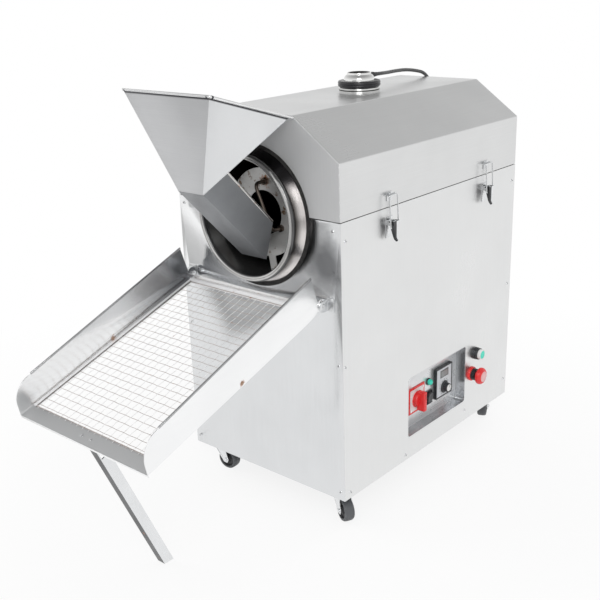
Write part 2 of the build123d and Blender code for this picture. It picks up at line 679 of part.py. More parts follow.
def hopper_planes(inset):
    """Solid filled by the hopper between its four walls, each moved inwards by inset."""
    (yf, zf), (yb, zb), (yl, zl) = HOPPER_FRONT_TOP, HOPPER_BACK_TOP, HOPPER_LOW
    front_n = Vector(0, zf - zl, yl - yf).normalized()
    back_n = Vector(0, -(zb - zl), yb - yl).normalized()
    top_right = Vector(HOPPER_TOP_HALF, yf, zf)
    back_right = Vector(HOPPER_TOP_HALF, yb, zb)
    low_right = Vector(HOPPER_LOW_HALF, yl, zl)
    side_n = (back_right - low_right).cross(top_right - low_right).normalized()
    if side_n.X > 0:
        side_n = side_n * -1
    left_n = Vector(-side_n.X, side_n.Y, side_n.Z)
    low_left = Vector(-HOPPER_LOW_HALF, yl, zl)
    walls = [(low_right, front_n), (low_right, back_n), (low_right, side_n), (low_left, left_n)]
    filled = block(-HALF_W, HALF_W, 2 * yf, -yf, zl - 1, 2 * zf)
    for point, inward in walls:
        filled = filled & half_space(point + inward * inset, inward)
    return filled


def chute_frame(along):
    slope = math.radians(CHUTE_SLOPE)
    down = Vector(0, math.cos(slope), -math.sin(slope))
    start = Vector(0, HOPPER_LOW[0], HOPPER_LOW[1])
    return Plane(origin=start + down * along, x_dir=(1, 0, 0), z_dir=down)


def chute_section(inset):
    """U of the chute as a filled trapezium, (across, height) in its frame."""
    low = HOPPER_LOW_HALF + 1.0 - inset
    high = low + CHUTE_SPLAY
    top = 5.0 if inset else 0.0
    grow = CHUTE_SPLAY / CHUTE_WALL_H * top
    rim = CHUTE_WALL_H + top
    return [(-low, inset), (low, inset), (high + grow, rim), (-high - grow, rim)]


def chute_solid(inset, start, length):
    frame = chute_frame(start)
    up = frame.y_dir if frame.y_dir.Z > 0 else frame.y_dir * -1
    origin = frame.origin
    corners = [origin + Vector(x, 0, 0) + up * h for x, h in chute_section(inset)]
    return extrude(make_face(Polyline(*corners, close=True)), length, dir=frame.z_dir)


def hopper():
    """Funnel with hemmed rims and flange strips, its open chute, and the sleeve it hangs by."""
    (yf, zf), (yb, zb), (yl, zl) = HOPPER_FRONT_TOP, HOPPER_BACK_TOP, HOPPER_LOW
    top_n = Vector(0, zf - zb, yb - yf).normalized()
    below_top = half_space(Vector(0, yf, zf), top_n * -1)
    funnel = (hopper_planes(0) & below_top) - hopper_planes(SHEET)
    back_n = Vector(0, zb - zl, yl - yb).normalized()
    half_top = HOPPER_TOP_HALF + HOPPER_STRIP
    half_low = HOPPER_LOW_HALF + HOPPER_STRIP
    rim = [(-half_low, yl, zl), (half_low, yl, zl), (half_top, yb, zb), (-half_top, yb, zb)]
    plate = make_face(Polyline(*rim, close=True))
    plate = extrude(plate, SHEET, dir=back_n)
    tail = HOPPER_HEM_TAIL / math.hypot(yb - yf, zb - zf)
    ye, ze = yb + tail * (yb - yf), zb + tail * (zb - zf)
    hems = [rod_between(a, b, HOPPER_HEM_R) for a, b in (
        ((-HOPPER_TOP_HALF, yf, zf), (HOPPER_TOP_HALF, yf, zf)),
        ((HOPPER_TOP_HALF, yf, zf), (HOPPER_TOP_HALF, ye, ze)),
        ((-HOPPER_TOP_HALF, yf, zf), (-HOPPER_TOP_HALF, ye, ze)),
        ((-half_top, yb - HOPPER_HEM_R, zb), (half_top, yb - HOPPER_HEM_R, zb)))]
    outside = half_space(Vector(0, yl, zl), back_n)
    length = (CHUTE_END_Y - HOPPER_LOW[0]) / math.cos(math.radians(CHUTE_SLOPE)) + 80
    before_end = block(-HALF_W, HALF_W, 2 * yf, CHUTE_END_Y, CABINET_Z, 2 * zf)
    chute = chute_solid(0, 0, length) - chute_solid(SHEET, -5, length + 10)
    chute = (chute & outside) & before_end
    body = fused([funnel, plate] + hems)
    body = body - chute_solid(SHEET, 3, 90)
    return body + chute + hanger_sleeve()


def peg_frame():
    (yb, zb), (yl, zl) = HOPPER_BACK_TOP, HOPPER_LOW
    z = zl + (PEG_TOP[1] - yl) * (zb - zl) / (yb - yl)
    slope = math.radians(CHUTE_SLOPE)
    return Plane(origin=(PEG_TOP[0], PEG_TOP[1], z), x_dir=(1, 0, 0),
                 z_dir=(0, math.cos(slope), -math.sin(slope)))


def hanger_sleeve():
    inner = PEG + 2 * FREE_GAP
    outer = inner + 2 * SLEEVE_WALL
    frame = peg_frame()
    tube = frame * Pos(0, 0, SLEEVE_L / 2 + 1) * Box(outer, outer, SLEEVE_L)
    tube = tube - frame * Pos(0, 0, SLEEVE_L / 2 + 5) * Box(inner, inner, SLEEVE_L + 4)
    tab = frame * Pos(17, 0, 0.5) * Box(34 + outer, 30, 3)
    return tube + tab


def hopper_arm():
    """Bent flat bar from the front panel's top left corner, with the square peg that carries the hopper."""
    back = -ARM_FOOT_T
    front = back - ARM_T
    foot = block(ARM_FOOT_X[0], ARM_FOOT_X[1], back, 0, ARM_FOOT_Z[0], ARM_FOOT_Z[1])
    riser = block(ARM_X, ARM_X + ARM_W, front, back, ARM_FOOT_Z[0], ARM_TOP_Z)
    head = block(ARM_X, ARM_HEAD_X, front, back, ARM_TOP_Z - ARM_HEAD_H, ARM_TOP_Z)
    peg = peg_frame() * Pos(0, 0, PEG_L / 2 + 6) * Box(PEG, PEG, PEG_L)
    return foot + riser + head + (peg & block(-HALF_W, 0, -100, back, SEAM_Z, LID_TOP_Z))


def tray_place(shape):
    return Pos(0, TRAY_PIN_Y, TRAY_PIN_Z) * Rot(X=TRAY_SLOPE) * shape


def tray_pan():
    """Folded pan, modelled level: y runs to minus along the tray, the pins are at the origin."""
    low = TRAY_FLOOR
    back = TRAY_BACK
    front = -TRAY_L
    half = TRAY_HALF_W
    front_top = front + TRAY_FRONT_LEAN
    side = [(back, low), (back, low + TRAY_BACK_H), (front_top, low + TRAY_FRONT_H), (front, low)]
    walls = []
    for x in (-half, half - SHEET):
        wall = prism_x(side, x, x + SHEET)
        corner = wall.edges().filter_by(Axis.X).sort_by_distance((x, front_top, low + TRAY_FRONT_H))[:1]
        walls.append(fillet(corner, TRAY_CORNER_R))
    floor = block(-half, half, front, back, low, low + SHEET)
    open_half = half - TRAY_STRIP
    window = block(-open_half, open_half, front + TRAY_LIP, back - TRAY_STRIP, low - 5, low + 5)
    lip = block(-half, half, front, front + SHEET, low - TRAY_LIP_TURN, low + SHEET)
    sill = block(-half, half, back - SHEET, back, low, low + TRAY_SILL_H)
    drop = (TRAY_BACK_H - TRAY_FRONT_H) / (back - front_top)
    hem_end = front_top + TRAY_CORNER_R
    hem_z = low + TRAY_FRONT_H + drop * TRAY_CORNER_R
    hems = [rod_between((x, back, low + TRAY_BACK_H), (x, hem_end, hem_z), TRAY_HEM_R)
            for x in (-half + 1, half - 1)]
    pan = fused([floor - window] + walls + [lip, sill] + hems)
    for x in (-half, half):
        pan = pan + rod_x(x - TRAY_BOSS_T, x + TRAY_BOSS_T, 0, TRAY_PIN_H, TRAY_BOSS_R)
    pan = pan - rod_x(-half - 5, half + 5, 0, TRAY_PIN_H, TRAY_PIN_R + RUN_FIT)
    return tray_place(Pos(0, 0, -TRAY_PIN_H) * pan)


def tray_mesh():
    """Sieve on the pan's floor strips, one sheet with square gaps."""
    x_half = TRAY_HALF_W - TRAY_STRIP + MESH_LAP
    y0 = -TRAY_L + TRAY_LIP - MESH_LAP
    y1 = TRAY_BACK - TRAY_STRIP + MESH_LAP
    z0 = TRAY_FLOOR + SHEET
    sheet = Plane.XY * Pos(0, (y0 + y1) / 2, 0) * Rectangle(2 * x_half, y1 - y0)
    gap_x, gap_y = [pitch - MESH_BAR for pitch in MESH_PITCH]
    holes = [Pos(x, (y0 + y1) / 2 + y, 0) * Rectangle(gap_x, gap_y) for x, y in mesh_spots()]
    face = sheet - holes
    return tray_place(Pos(0, 0, z0 - TRAY_PIN_H) * extrude(face, MESH_T, dir=(0, 0, 1)))


def mesh_spots():
    pitch_x, pitch_y = MESH_PITCH
    for i in range(MESH_COLUMNS):
        for j in range(MESH_ROWS):
            yield (i - (MESH_COLUMNS - 1) / 2) * pitch_x, (j - (MESH_ROWS - 1) / 2) * pitch_y


def tray_ears():
    """Ear plates, each with the pin that the tray swings on."""
    pieces = []
    inner = TRAY_HALF_W + TRAY_BOSS_T + FREE_GAP
    outer = inner + EAR_T
    tab_w, tab_t, tab_half = EAR_TAB
    for side in (-1, 1):
        xs = sorted((side * inner, side * outer))
        ear = block(xs[0], xs[1], TRAY_PIN_Y, 0, TRAY_PIN_Z - EAR_R, TRAY_PIN_Z + EAR_R)
        ear = ear + rod_x(xs[0], xs[1], TRAY_PIN_Y, TRAY_PIN_Z, EAR_R)
        tabs = sorted((side * inner, side * (outer + tab_w)))
        ear = ear + block(tabs[0], tabs[1], -tab_t, 0, TRAY_PIN_Z - tab_half, TRAY_PIN_Z + tab_half)
        pins = sorted((side * (TRAY_HALF_W - 8), side * (outer + 3)))
        ear = ear + rod_x(pins[0], pins[1], TRAY_PIN_Y, TRAY_PIN_Z, TRAY_PIN_R)
        pieces.append(ear)
    return pieces


def leg_spot():
    """The leg's pin, a set depth under the front lip."""
    slope = math.radians(TRAY_SLOPE)
    run = -TRAY_L + LEG_BEHIND_LIP
    rise = TRAY_FLOOR - TRAY_PIN_H - LEG_DROP
    return (TRAY_PIN_Y + run * math.cos(slope) - rise * math.sin(slope),
            TRAY_PIN_Z + run * math.sin(slope) + rise * math.cos(slope))


def leg_bracket():
    """Clevis under the front lip, with the leg's pin."""
    y, z = leg_spot()
    lean = math.radians(TRAY_SLOPE)
    frame = Plane(origin=(0, y, z), x_dir=(1, 0, 0), z_dir=(0, -math.sin(lean), math.cos(lean)))
    outer = LEG_W / 2 + CLEVIS_GAP + CLEVIS_T
    pieces = [frame * Pos(0, 0, LEG_DROP - 1) * Box(2 * outer, 2 * CLEVIS_R + 2, 2)]
    for side in (-1, 1):
        x = side * (outer - CLEVIS_T / 2)
        pieces.append(frame * Pos(x, 0, LEG_DROP / 2) * Box(CLEVIS_T, 2 * CLEVIS_R, LEG_DROP))
        pieces.append(rod_x(x - CLEVIS_T / 2, x + CLEVIS_T / 2, y, z, CLEVIS_R))
    pieces.append(rod_x(-outer - 2.1, outer + 2.1, y, z, LEG_PIN_R))
    return fused(pieces)


def tray_leg():
    """Angle section prop; its foot is cut level with the floor."""
    y, z = leg_spot()
    down = Vector(0, LEG_FOOT_Y - y, -z)
    length = down.length
    frame = Plane(origin=(0, y, z), x_dir=(1, 0, 0), z_dir=down)
    half = LEG_W / 2
    front = frame * Pos(0, 0, length / 2 + 6) * Box(LEG_W, LEG_T, length + 30)
    behind = 1 if frame.y_dir.Y > 0 else -1
    web_end = length + LEG_PAST_FLOOR
    web_middle = (LEG_WEB_START + web_end) / 2
    web = frame * Pos(half - LEG_T / 2, behind * half, web_middle) * Box(LEG_T, LEG_W, web_end - LEG_WEB_START)
    eye = rod_x(-half, half, y, z, LEG_EYE_R)
    leg = front + web + eye
    leg = leg & block(-50, 50, -600, 0, 0, 600)
    return leg - rod_x(-50, 50, y, z, LEG_PIN_R + RUN_FIT)


def caster_spots():
    x = HALF_W - CASTER_INSET
    back = CABINET_L - CASTER_INSET
    return {"front_right": (x, CASTER_INSET), "front_left": (-x, CASTER_INSET),
            "rear_right": (x, back), "rear_left": (-x, back)}


def caster_plates():
    """Top plates with their king pins, a group of four."""
    plates = []
    for x, y in caster_spots().values():
        half = PLATE_W / 2
        plate = block(x - half, x + half, y - half, y + half, CABINET_Z - PLATE_T, CABINET_Z)
        plate = plate + rod_z(FORK_TOP_Z - KING_PIN_L, CABINET_Z, x, y, KING_PIN_R)
        plates.append(plate)
    return plates


def caster_fork(name):
    """Swivel head, two cheeks and the axle; modelled with the wheel trailing along +X."""
    low = FORK_TOP_Z - FORK_HEAD_H
    head = rod_z(low, FORK_TOP_Z, 0, 0, FORK_HEAD_R)
    inner = WHEEL_W / 2 + FORK_GAP
    outer = inner + FORK_SHEET
    outline = [(FORK_BACK, low), (FORK_FRONT, low), (CASTER_TRAIL + 8, WHEEL_R),
               (CASTER_TRAIL + 4, WHEEL_R - 8), (CASTER_TRAIL - 6, WHEEL_R - 7)]
    cheeks = [prism_y(outline, y, y + FORK_SHEET) for y in (-outer, inner)]
    crown = block(FORK_BACK, FORK_FRONT, -outer, outer, low, low + FORK_SHEET)
    axle = rod_y(-outer - 2.5, outer + 2.5, CASTER_TRAIL, WHEEL_R, AXLE_R)
    fork = fused([head, crown] + cheeks + [axle])
    if name.startswith("rear"):
        fork = fused([fork] + brake_pedal(low))
    return fork - rod_z(FORK_TOP_Z - KING_PIN_L - 0.5, FORK_TOP_Z + 1, 0, 0, KING_PIN_R + RUN_FIT)


def brake_pedal(low):
    """Bent strip from the fork's crown to the pedal behind the wheel."""
    half = PEDAL_W / 2
    bend_x = CASTER_TRAIL + 12
    pedal_z = WHEEL_R + 28
    strip = block(10, bend_x + 2, -half, half, low, low + FORK_SHEET)
    drop = block(bend_x, bend_x + 3, -half, half, pedal_z, low + FORK_SHEET)
    pedal = block(bend_x, bend_x + 14, -half, half, pedal_z, pedal_z + 3)
    return [strip, drop, pedal]


def caster_wheel():
    bore = rod_y(-50, 50, CASTER_TRAIL, WHEEL_R, AXLE_R + RUN_FIT)
    half = WHEEL_W / 2
    tread = turned_y([(0, -half), (WHEEL_R - 3, -half), (WHEEL_R, -half + 3), (WHEEL_R, half - 3),
                      (WHEEL_R - 3, half), (0, half)], x=CASTER_TRAIL, z=WHEEL_R)
    return tread - bore


def placed_caster(shape, name):
    x, y = caster_spots()[name]
    return Pos(x, y, 0) * Rot(Z=CASTER_HEADINGS[name]) * shape


def isolator_plate():
    y, z = ISOLATOR
    half = ISOLATOR_SIZE / 2
    plate = block(FACE_X, FACE_X + ISOLATOR_PLATE_T, y - half, y + half, z - half, z + half)
    boss = rod_x(FACE_X, FACE_X + ISOLATOR_BOSS_H, y, z, 19)
    return plate + boss


def isolator_knob():
    y, z = ISOLATOR
    base = FACE_X + ISOLATOR_BOSS_H + FREE_GAP
    disc = rod_x(base, base + 7, y, z, 17)
    grip = block(base, base + 21, y - 6, y + 6, z - 25, z + 22)
    return disc + grip


def pilot_lamp():
    y, z = LAMP
    ring, seat = LAMP_BEZEL
    radius, tip = LAMP_LENS
    bezel = [(0, 0), (0, ring), (seat, ring)]
    lens = [(seat, radius), (tip - 3, radius - 0.5), (tip, 0)]
    return turned_x([(FACE_X + out, radius) for out, radius in bezel + lens], y, z)


def rocker_frame():
    y, z = ROCKER
    half_y, half_z = ROCKER_FRAME[0] / 2, ROCKER_FRAME[1] / 2
    in_y, in_z = half_y - ROCKER_RIM, half_z - ROCKER_RIM
    top = FACE_X + ROCKER_FRAME_H
    frame = block(FACE_X, top, y - half_y, y + half_y, z - half_z, z + half_z)
    frame = frame - block(FACE_X + ROCKER_FLOOR, top + 5, y - in_y, y + in_y, z - in_z, z + in_z)
    pin_end = in_y + ROCKER_PIN_IN + FREE_GAP
    return frame - rod_y(y - pin_end, y + pin_end, ROCKER_PIVOT_X, z, ROCKER_PIN_R + RUN_FIT)


def rocker():
    """Rocker leaning to its off side, on a round pin across its middle."""
    y, z = ROCKER
    width, height = ROCKER_KEY
    end = height / 2
    profile = [(0, -end), (4.5, -end), (3.2, 0), (4.5, end), (0, end)]
    pin_end = ROCKER_FRAME[0] / 2 - ROCKER_RIM + ROCKER_PIN_IN
    key = prism_y(profile, -width / 2, width / 2) + rod_y(-pin_end, pin_end, 0, 0, ROCKER_PIN_R)
    return Pos(ROCKER_PIVOT_X, y, z) * Rot(Y=ROCKER_TILT) * key


def speed_controller():
    """Box frame, sunk face with a display window and a dial ring."""
    y, z = SPEED
    side, rise = SPEED_W / 2, SPEED_H / 2
    front = FACE_X + SPEED_PROUD
    body = block(FACE_X, front, y - side, y + side, z - rise, z + rise)
    face = front - SPEED_SINK
    side, rise = side - SPEED_RIM, rise - SPEED_RIM
    body = body - block(face, front + 1, y - side, y + side, z - rise, z + rise)
    half_w, half_h = SPEED_WINDOW[0] / 2, SPEED_WINDOW[1] / 2
    mid = z + SPEED_WINDOW_UP
    body = body + block(face, face + SPEED_RAISE, y - half_w, y + half_w, mid - half_h, mid + half_h)
    return body + rod_x(face, face + SPEED_RAISE, y, z - SPEED_KNOB_DROP, SPEED_DIAL_R)


def speed_knob():
    y, z = SPEED
    z = z - SPEED_KNOB_DROP
    base = FACE_X + SPEED_PROUD - SPEED_SINK + SPEED_RAISE + FREE_GAP
    tip = base + SPEED_KNOB_H
    knob = turned_x([(base, 0), (base, SPEED_KNOB_R), (tip - 1, SPEED_KNOB_R - 2), (tip, SPEED_KNOB_R - 3),
                     (tip, 0)], y, z)
    return knob - block(tip - 1, tip + 1, y - 0.8, y + 0.8, z, z + SPEED_KNOB_R - 1)


def button_collars():
    """Stepped collars of the two push buttons, with their stems through the panel."""
    x = HALF_W
    root = x - BUTTON_STEM_L
    stem = [(root, 0), (root, BUTTON_STEM_R), (x, BUTTON_STEM_R)]
    cup = x + START_CUP
    top = x + START_COLLAR_H
    hole = START_R + FREE_GAP
    steps = [(x, START_FLANGE_R), (x + 5, START_FLANGE_R), (x + 6, START_COLLAR_R), (top, START_COLLAR_R)]
    steps += [(top, hole), (cup, hole), (cup, 0)]
    start = turned_x(stem + steps, START[0], START[1])
    cup = x + STOP_CUP
    top = x + STOP_COLLAR_H
    hole = STOP_STEM_R + FREE_GAP
    steps = [(x, BUTTON_FLANGE_R), (x + 5, BUTTON_FLANGE_R), (x + 8, 14), (top, 13.5)]
    steps += [(top, hole), (cup, hole), (cup, 0)]
    stop = turned_x(stem + steps, STOP[0], STOP[1])
    return [start, stop]


def start_button():
    y, z = START
    x0 = HALF_W + START_CUP + BUTTON_TRAVEL
    tip = x0 + START_L
    return turned_x([(x0, 0), (x0, START_R), (tip - 1, START_R), (tip, START_R - 2), (tip, 0)], y, z)


def stop_button():
    y, z = STOP
    root = HALF_W + STOP_CUP + STOP_FREE
    under = HALF_W + STOP_COLLAR_H + STOP_FREE
    tip = HALF_W + STOP_REACH
    stem = [(root, 0), (root, STOP_STEM_R), (under, STOP_STEM_R)]
    head = [(under, STOP_HEAD_R - 1), (under + 3, STOP_HEAD_R), (tip - 8, STOP_HEAD_R),
            (tip - 3, STOP_HEAD_R - 4), (tip, STOP_HEAD_R - 11), (tip, 0)]
    return turned_x(stem + head, y, z)


def latch_bases():
    """Plates on the right panel with two ears and a pivot pin, a group of two."""
    bases = []
    x = HALF_W
    px, pz = LATCH_PIVOT_X, LATCH_PIVOT_Z
    width, thick = LATCH_PLATE
    for y in LATCH_YS.values():
        plate = block(x, x + thick, y - width / 2, y + width / 2, pz - 30, pz + 12)
        for side in (-1, 1):
            ya = y + side * LATCH_EAR_Y
            plate = plate + block(x, px, ya - 1, ya + 1, pz - LATCH_EAR_R, pz + LATCH_EAR_R)
            plate = plate + rod_y(ya - 1, ya + 1, px, pz, LATCH_EAR_R)
        bases.append(plate + rod_y(y - 10, y + 10, px, pz, LATCH_PIN_R))
    return bases


def latch_lever(name):
    """Blade that hangs from the base pin and carries the bail's pivot between its cheeks."""
    y = LATCH_YS[name]
    px, pz = LATCH_PIVOT_X, LATCH_PIVOT_Z
    cheek = [(px - 4, pz + 4), (px + 4, pz + 4), (px + 9, pz - 8), (px + 8, pz - 14), (px - 1, pz - 14)]
    outer = LATCH_CHEEK_Y + LATCH_CHEEK_T / 2
    pieces = [prism_y(cheek, ya, ya + LATCH_CHEEK_T) for ya in (y - outer, y + outer - LATCH_CHEEK_T)]
    blade = [(px + 4.5, pz - 9), (px + 8.9, pz - 9), (px + 7.5, pz - 26), (px + 12, pz - 33),
             (px + 9.5, pz - 33.5), (px + 5, pz - 26)]
    lever = fused(pieces + [prism_y(blade, y - outer, y + outer)])
    lever = lever - rod_y(y - 20, y + 20, BAIL_PIVOT[0], BAIL_PIVOT[1], BAIL_WIRE_R + RUN_FIT)
    return lever - rod_y(y - 20, y + 20, px, pz, LATCH_PIN_R + RUN_FIT)


def latch_bail(name):
    """Wire loop from the lever's cheeks up to just outside the keeper's lip."""
    y = LATCH_YS[name]
    bx, bz = BAIL_PIVOT
    top_x, top_z = BAIL_TOP_X, KEEPER_Z + 4.0
    near = [(bx, y - BAIL_TIP_Y, bz), (bx, y - BAIL_HALF_W, bz), (top_x, y - BAIL_HALF_W, top_z)]
    far = [(top_x, y + BAIL_HALF_W, top_z), (bx, y + BAIL_HALF_W, bz), (bx, y + BAIL_TIP_Y, bz)]
    path = FilletPolyline(*near, *far, radius=2.2)
    section = Plane(origin=near[0], z_dir=(0, -1, 0)) * Circle(BAIL_WIRE_R)
    return sweep(section, path)


def latch_keepers():
    """Hook plates on the lid's side, their lips turned up, a group of two."""
    hook = [(0, -9), (2, -9), (2, 0), (7.5, 1), (8.2, 7), (6.4, 7), (5.8, 2.6), (2, 2), (2, 9), (0, 9)]
    profile = [(HALF_W + out, KEEPER_Z + up) for out, up in hook]
    return [prism_y(profile, y - LATCH_CHEEK_Y, y + LATCH_CHEEK_Y) for y in LATCH_YS.values()]


def hinge_body_leaves():
    """Lower leaves with two outer knuckles and the pin, a group of two."""
    leaves = []
    for y in HINGE_YS:
        y0, y1 = y - HINGE_L / 2, y + HINGE_L / 2
        leaf = block(-HALF_W - HINGE_LEAF_T, -HALF_W, y0, y1, SEAM_Z - HINGE_LEAF_H, SEAM_Z - SEAM_GAP)
        for ya, yb in ((y0, y0 + HINGE_KNUCKLE), (y1 - HINGE_KNUCKLE, y1)):
            leaf = leaf + rod_y(ya, yb, HINGE_X, SEAM_Z, HINGE_R)
            leaf = leaf + block(HINGE_X, -HALF_W, ya, yb, SEAM_Z - HINGE_R, SEAM_Z - SEAM_GAP)
        leaf = leaf - rod_y(y0 + HINGE_KNUCKLE, y1 - HINGE_KNUCKLE, HINGE_X, SEAM_Z, HINGE_R + FREE_GAP)
        leaf = leaf + rod_y(y0, y1, HINGE_X, SEAM_Z, HINGE_PIN_R)
        leaves.append(leaf)
    return leaves


def hinge_lid_leaves():
    leaves = []
    for y in HINGE_YS:
        y0, y1 = y - HINGE_L / 2, y + HINGE_L / 2
        ya, yb = y0 + HINGE_KNUCKLE + FREE_GAP, y1 - HINGE_KNUCKLE - FREE_GAP
        leaf_low = SEAM_Z + HINGE_R + FREE_GAP
        leaf = block(-HALF_W - HINGE_LEAF_T, -HALF_W, y0, y1, leaf_low, SEAM_Z + HINGE_LEAF_H)
        leaf = leaf + block(HINGE_X, -HALF_W, ya, yb, SEAM_Z + SEAM_GAP, SEAM_Z + 8)
        leaf = leaf + rod_y(ya, yb, HINGE_X, SEAM_Z, HINGE_R)
        leaves.append(leaf - rod_y(y0 - 1, y1 + 1, HINGE_X, SEAM_Z, HINGE_PIN_R + RUN_FIT))
    return leaves


def vent_base():
    z = LID_TOP_Z
    top = z + VENT_BASE_H
    return turned_z([(VENT_BORE_R, z), (VENT_BASE_R, z), (VENT_BASE_R, top - 2), (VENT_BASE_R - 2, top),
                     (VENT_BORE_R, top)], 0, VENT_Y)


def vent_ring():
    """Rubber ring with a rounded rim."""
    z = LID_TOP_Z + VENT_BASE_H
    top = z + VENT_RING_H
    r = VENT_RING_R
    ring = turned_z([(DOME_ROOT_R, z), (r, z), (r, top), (DOME_ROOT_R, top)], 0, VENT_Y)
    outer = [e for e in ring.edges().filter_by(GeomType.CIRCLE) if e.radius > r - 1]
    return fillet(outer, VENT_RING_ROUND)


def vent_dome():
    """Dome with the open outlet on top; its root sits inside the rubber ring."""
    z = LID_TOP_Z + VENT_BASE_H
    t = z + VENT_RING_H
    top = t + OUTLET_H
    pipe_r = OUTLET_R + OUTLET_WALL
    root = [(VENT_BORE_R, z), (DOME_ROOT_R, z), (DOME_ROOT_R, t)]
    dome = [(DOME_R, t), (DOME_R - 0.6, top - 11.5), (DOME_R - 3, top - 7), (pipe_r, top - 4.5), (pipe_r, top)]
    return turned_z(root + dome + [(OUTLET_R, top), (OUTLET_R, t), (VENT_BORE_R, t)], 0, VENT_Y)


def cord_glands():
    """Glands of the lead: one on the dome's side, one in the lid's back wall."""
    x, y, z = CORD_POINTS[0]
    first = rod_y(VENT_Y + OUTLET_R + 1, y + 4, x, z, CORD_R + GLAND_WALL) - vent_dome()
    first = first.solids().sort_by(Axis.Y)[-1] - rod_y(y, y + 9, x, z, CORD_R)
    back = CABINET_L
    x, y, z = CORD_POINTS[-1]
    second = rod_y(back, back + 12, x, z, CORD_R + 4) + rod_y(back - SHEET - 6, back, x, z, CORD_R)
    return [first, second - rod_y(y, back + 30, x, z, CORD_R)]


def cord_radii(points):
    radii = []
    for a, b, c in zip(points, points[1:], points[2:]):
        u = Vector(*b) - Vector(*a)
        v = Vector(*c) - Vector(*b)
        turn = math.radians(u.get_angle(v))
        radii.append(0.45 * min(u.length, v.length) / math.tan(turn / 2))
    return radii


def vent_cord():
    """The lead as straight runs joined by tangent arcs."""
    radii = cord_radii(CORD_POINTS)
    print("lead bend radii", [round(r, 1) for r in radii])
    corners = [Vector(*p) for p in CORD_POINTS]
    edges = []
    start = corners[0]
    for i, radius in enumerate(radii):
        corner = corners[i + 1]
        u = (corner - corners[i]).normalized()
        v = (corners[i + 2] - corner).normalized()
        turn = math.radians(u.get_angle(v))
        reach = radius * math.tan(turn / 2)
        a = corner - u * reach
        b = corner + v * reach
        towards = (v - u).normalized()
        middle = corner + towards * (radius / math.cos(turn / 2) - radius)
        edges.append(Edge.make_line(start, a))
        edges.append(Edge.make_three_point_arc(a, middle, b))
        start = b
    edges.append(Edge.make_line(start, corners[-1]))
    path = Wire(edges)
    print("lead length", round(path.length, 1))
    section = Plane(origin=corners[0], z_dir=corners[1] - corners[0]) * Circle(CORD_R)
    return sweep(section, path)


def panel_screws():
    """Pan heads on the front, side and rear sheets, one group."""
    heads = []
    spots = [(HALF_W - inset, z) for inset, z in FRONT_SCREWS_RIGHT]
    spots += [(inset - HALF_W, z) for inset, z in FRONT_SCREWS_LEFT]
    for x, z in spots:
        heads.append(rod_y(-SCREW_H, 0, x, z + CABINET_Z, SCREW_R))
        heads.append(rod_y(CABINET_L, CABINET_L + SCREW_H, x, z + CABINET_Z, SCREW_R))
    for y, z in SIDE_SCREWS:
        heads.append(rod_x(HALF_W, HALF_W + SCREW_H, y, z + CABINET_Z, SCREW_R))
        heads.append(rod_x(-HALF_W - SCREW_H, -HALF_W, y, z + CABINET_Z, SCREW_R))
    rims = [head.edges().filter_by(GeomType.CIRCLE).sort_by(outward)[-1:] for head in heads]
    return [fillet(rim, SCREW_ROUND) for rim in rims]


def outward(edge):
    c = edge.arc_center
    return max(abs(c.X) - HALF_W, -c.Y, c.Y - CABINET_L)


def solids_of(shape):
    if isinstance(shape, (list, tuple)):
        return [s for part in shape for s in solids_of(part)]
    return list(shape.solids())


def save(name, solids, origin):
    """Write one node, moved so that the shared origin is under the middle of the machine."""
    moved = [Pos(-origin[0], -origin[1], 0) * s for s in solids]
    whole = moved[0] if len(moved) == 1 else Compound(children=moved)
    whole.label = name
    export_step(whole, "parts/" + name + ".step")


def middle_of(boxes):
    low = [min(box.min.X for box in boxes), min(box.min.Y for box in boxes)]
    high = [max(box.max.X for box in boxes), max(box.max.Y for box in boxes)]
    return [round((a + b) / 2, 1) for a, b in zip(low, high)]


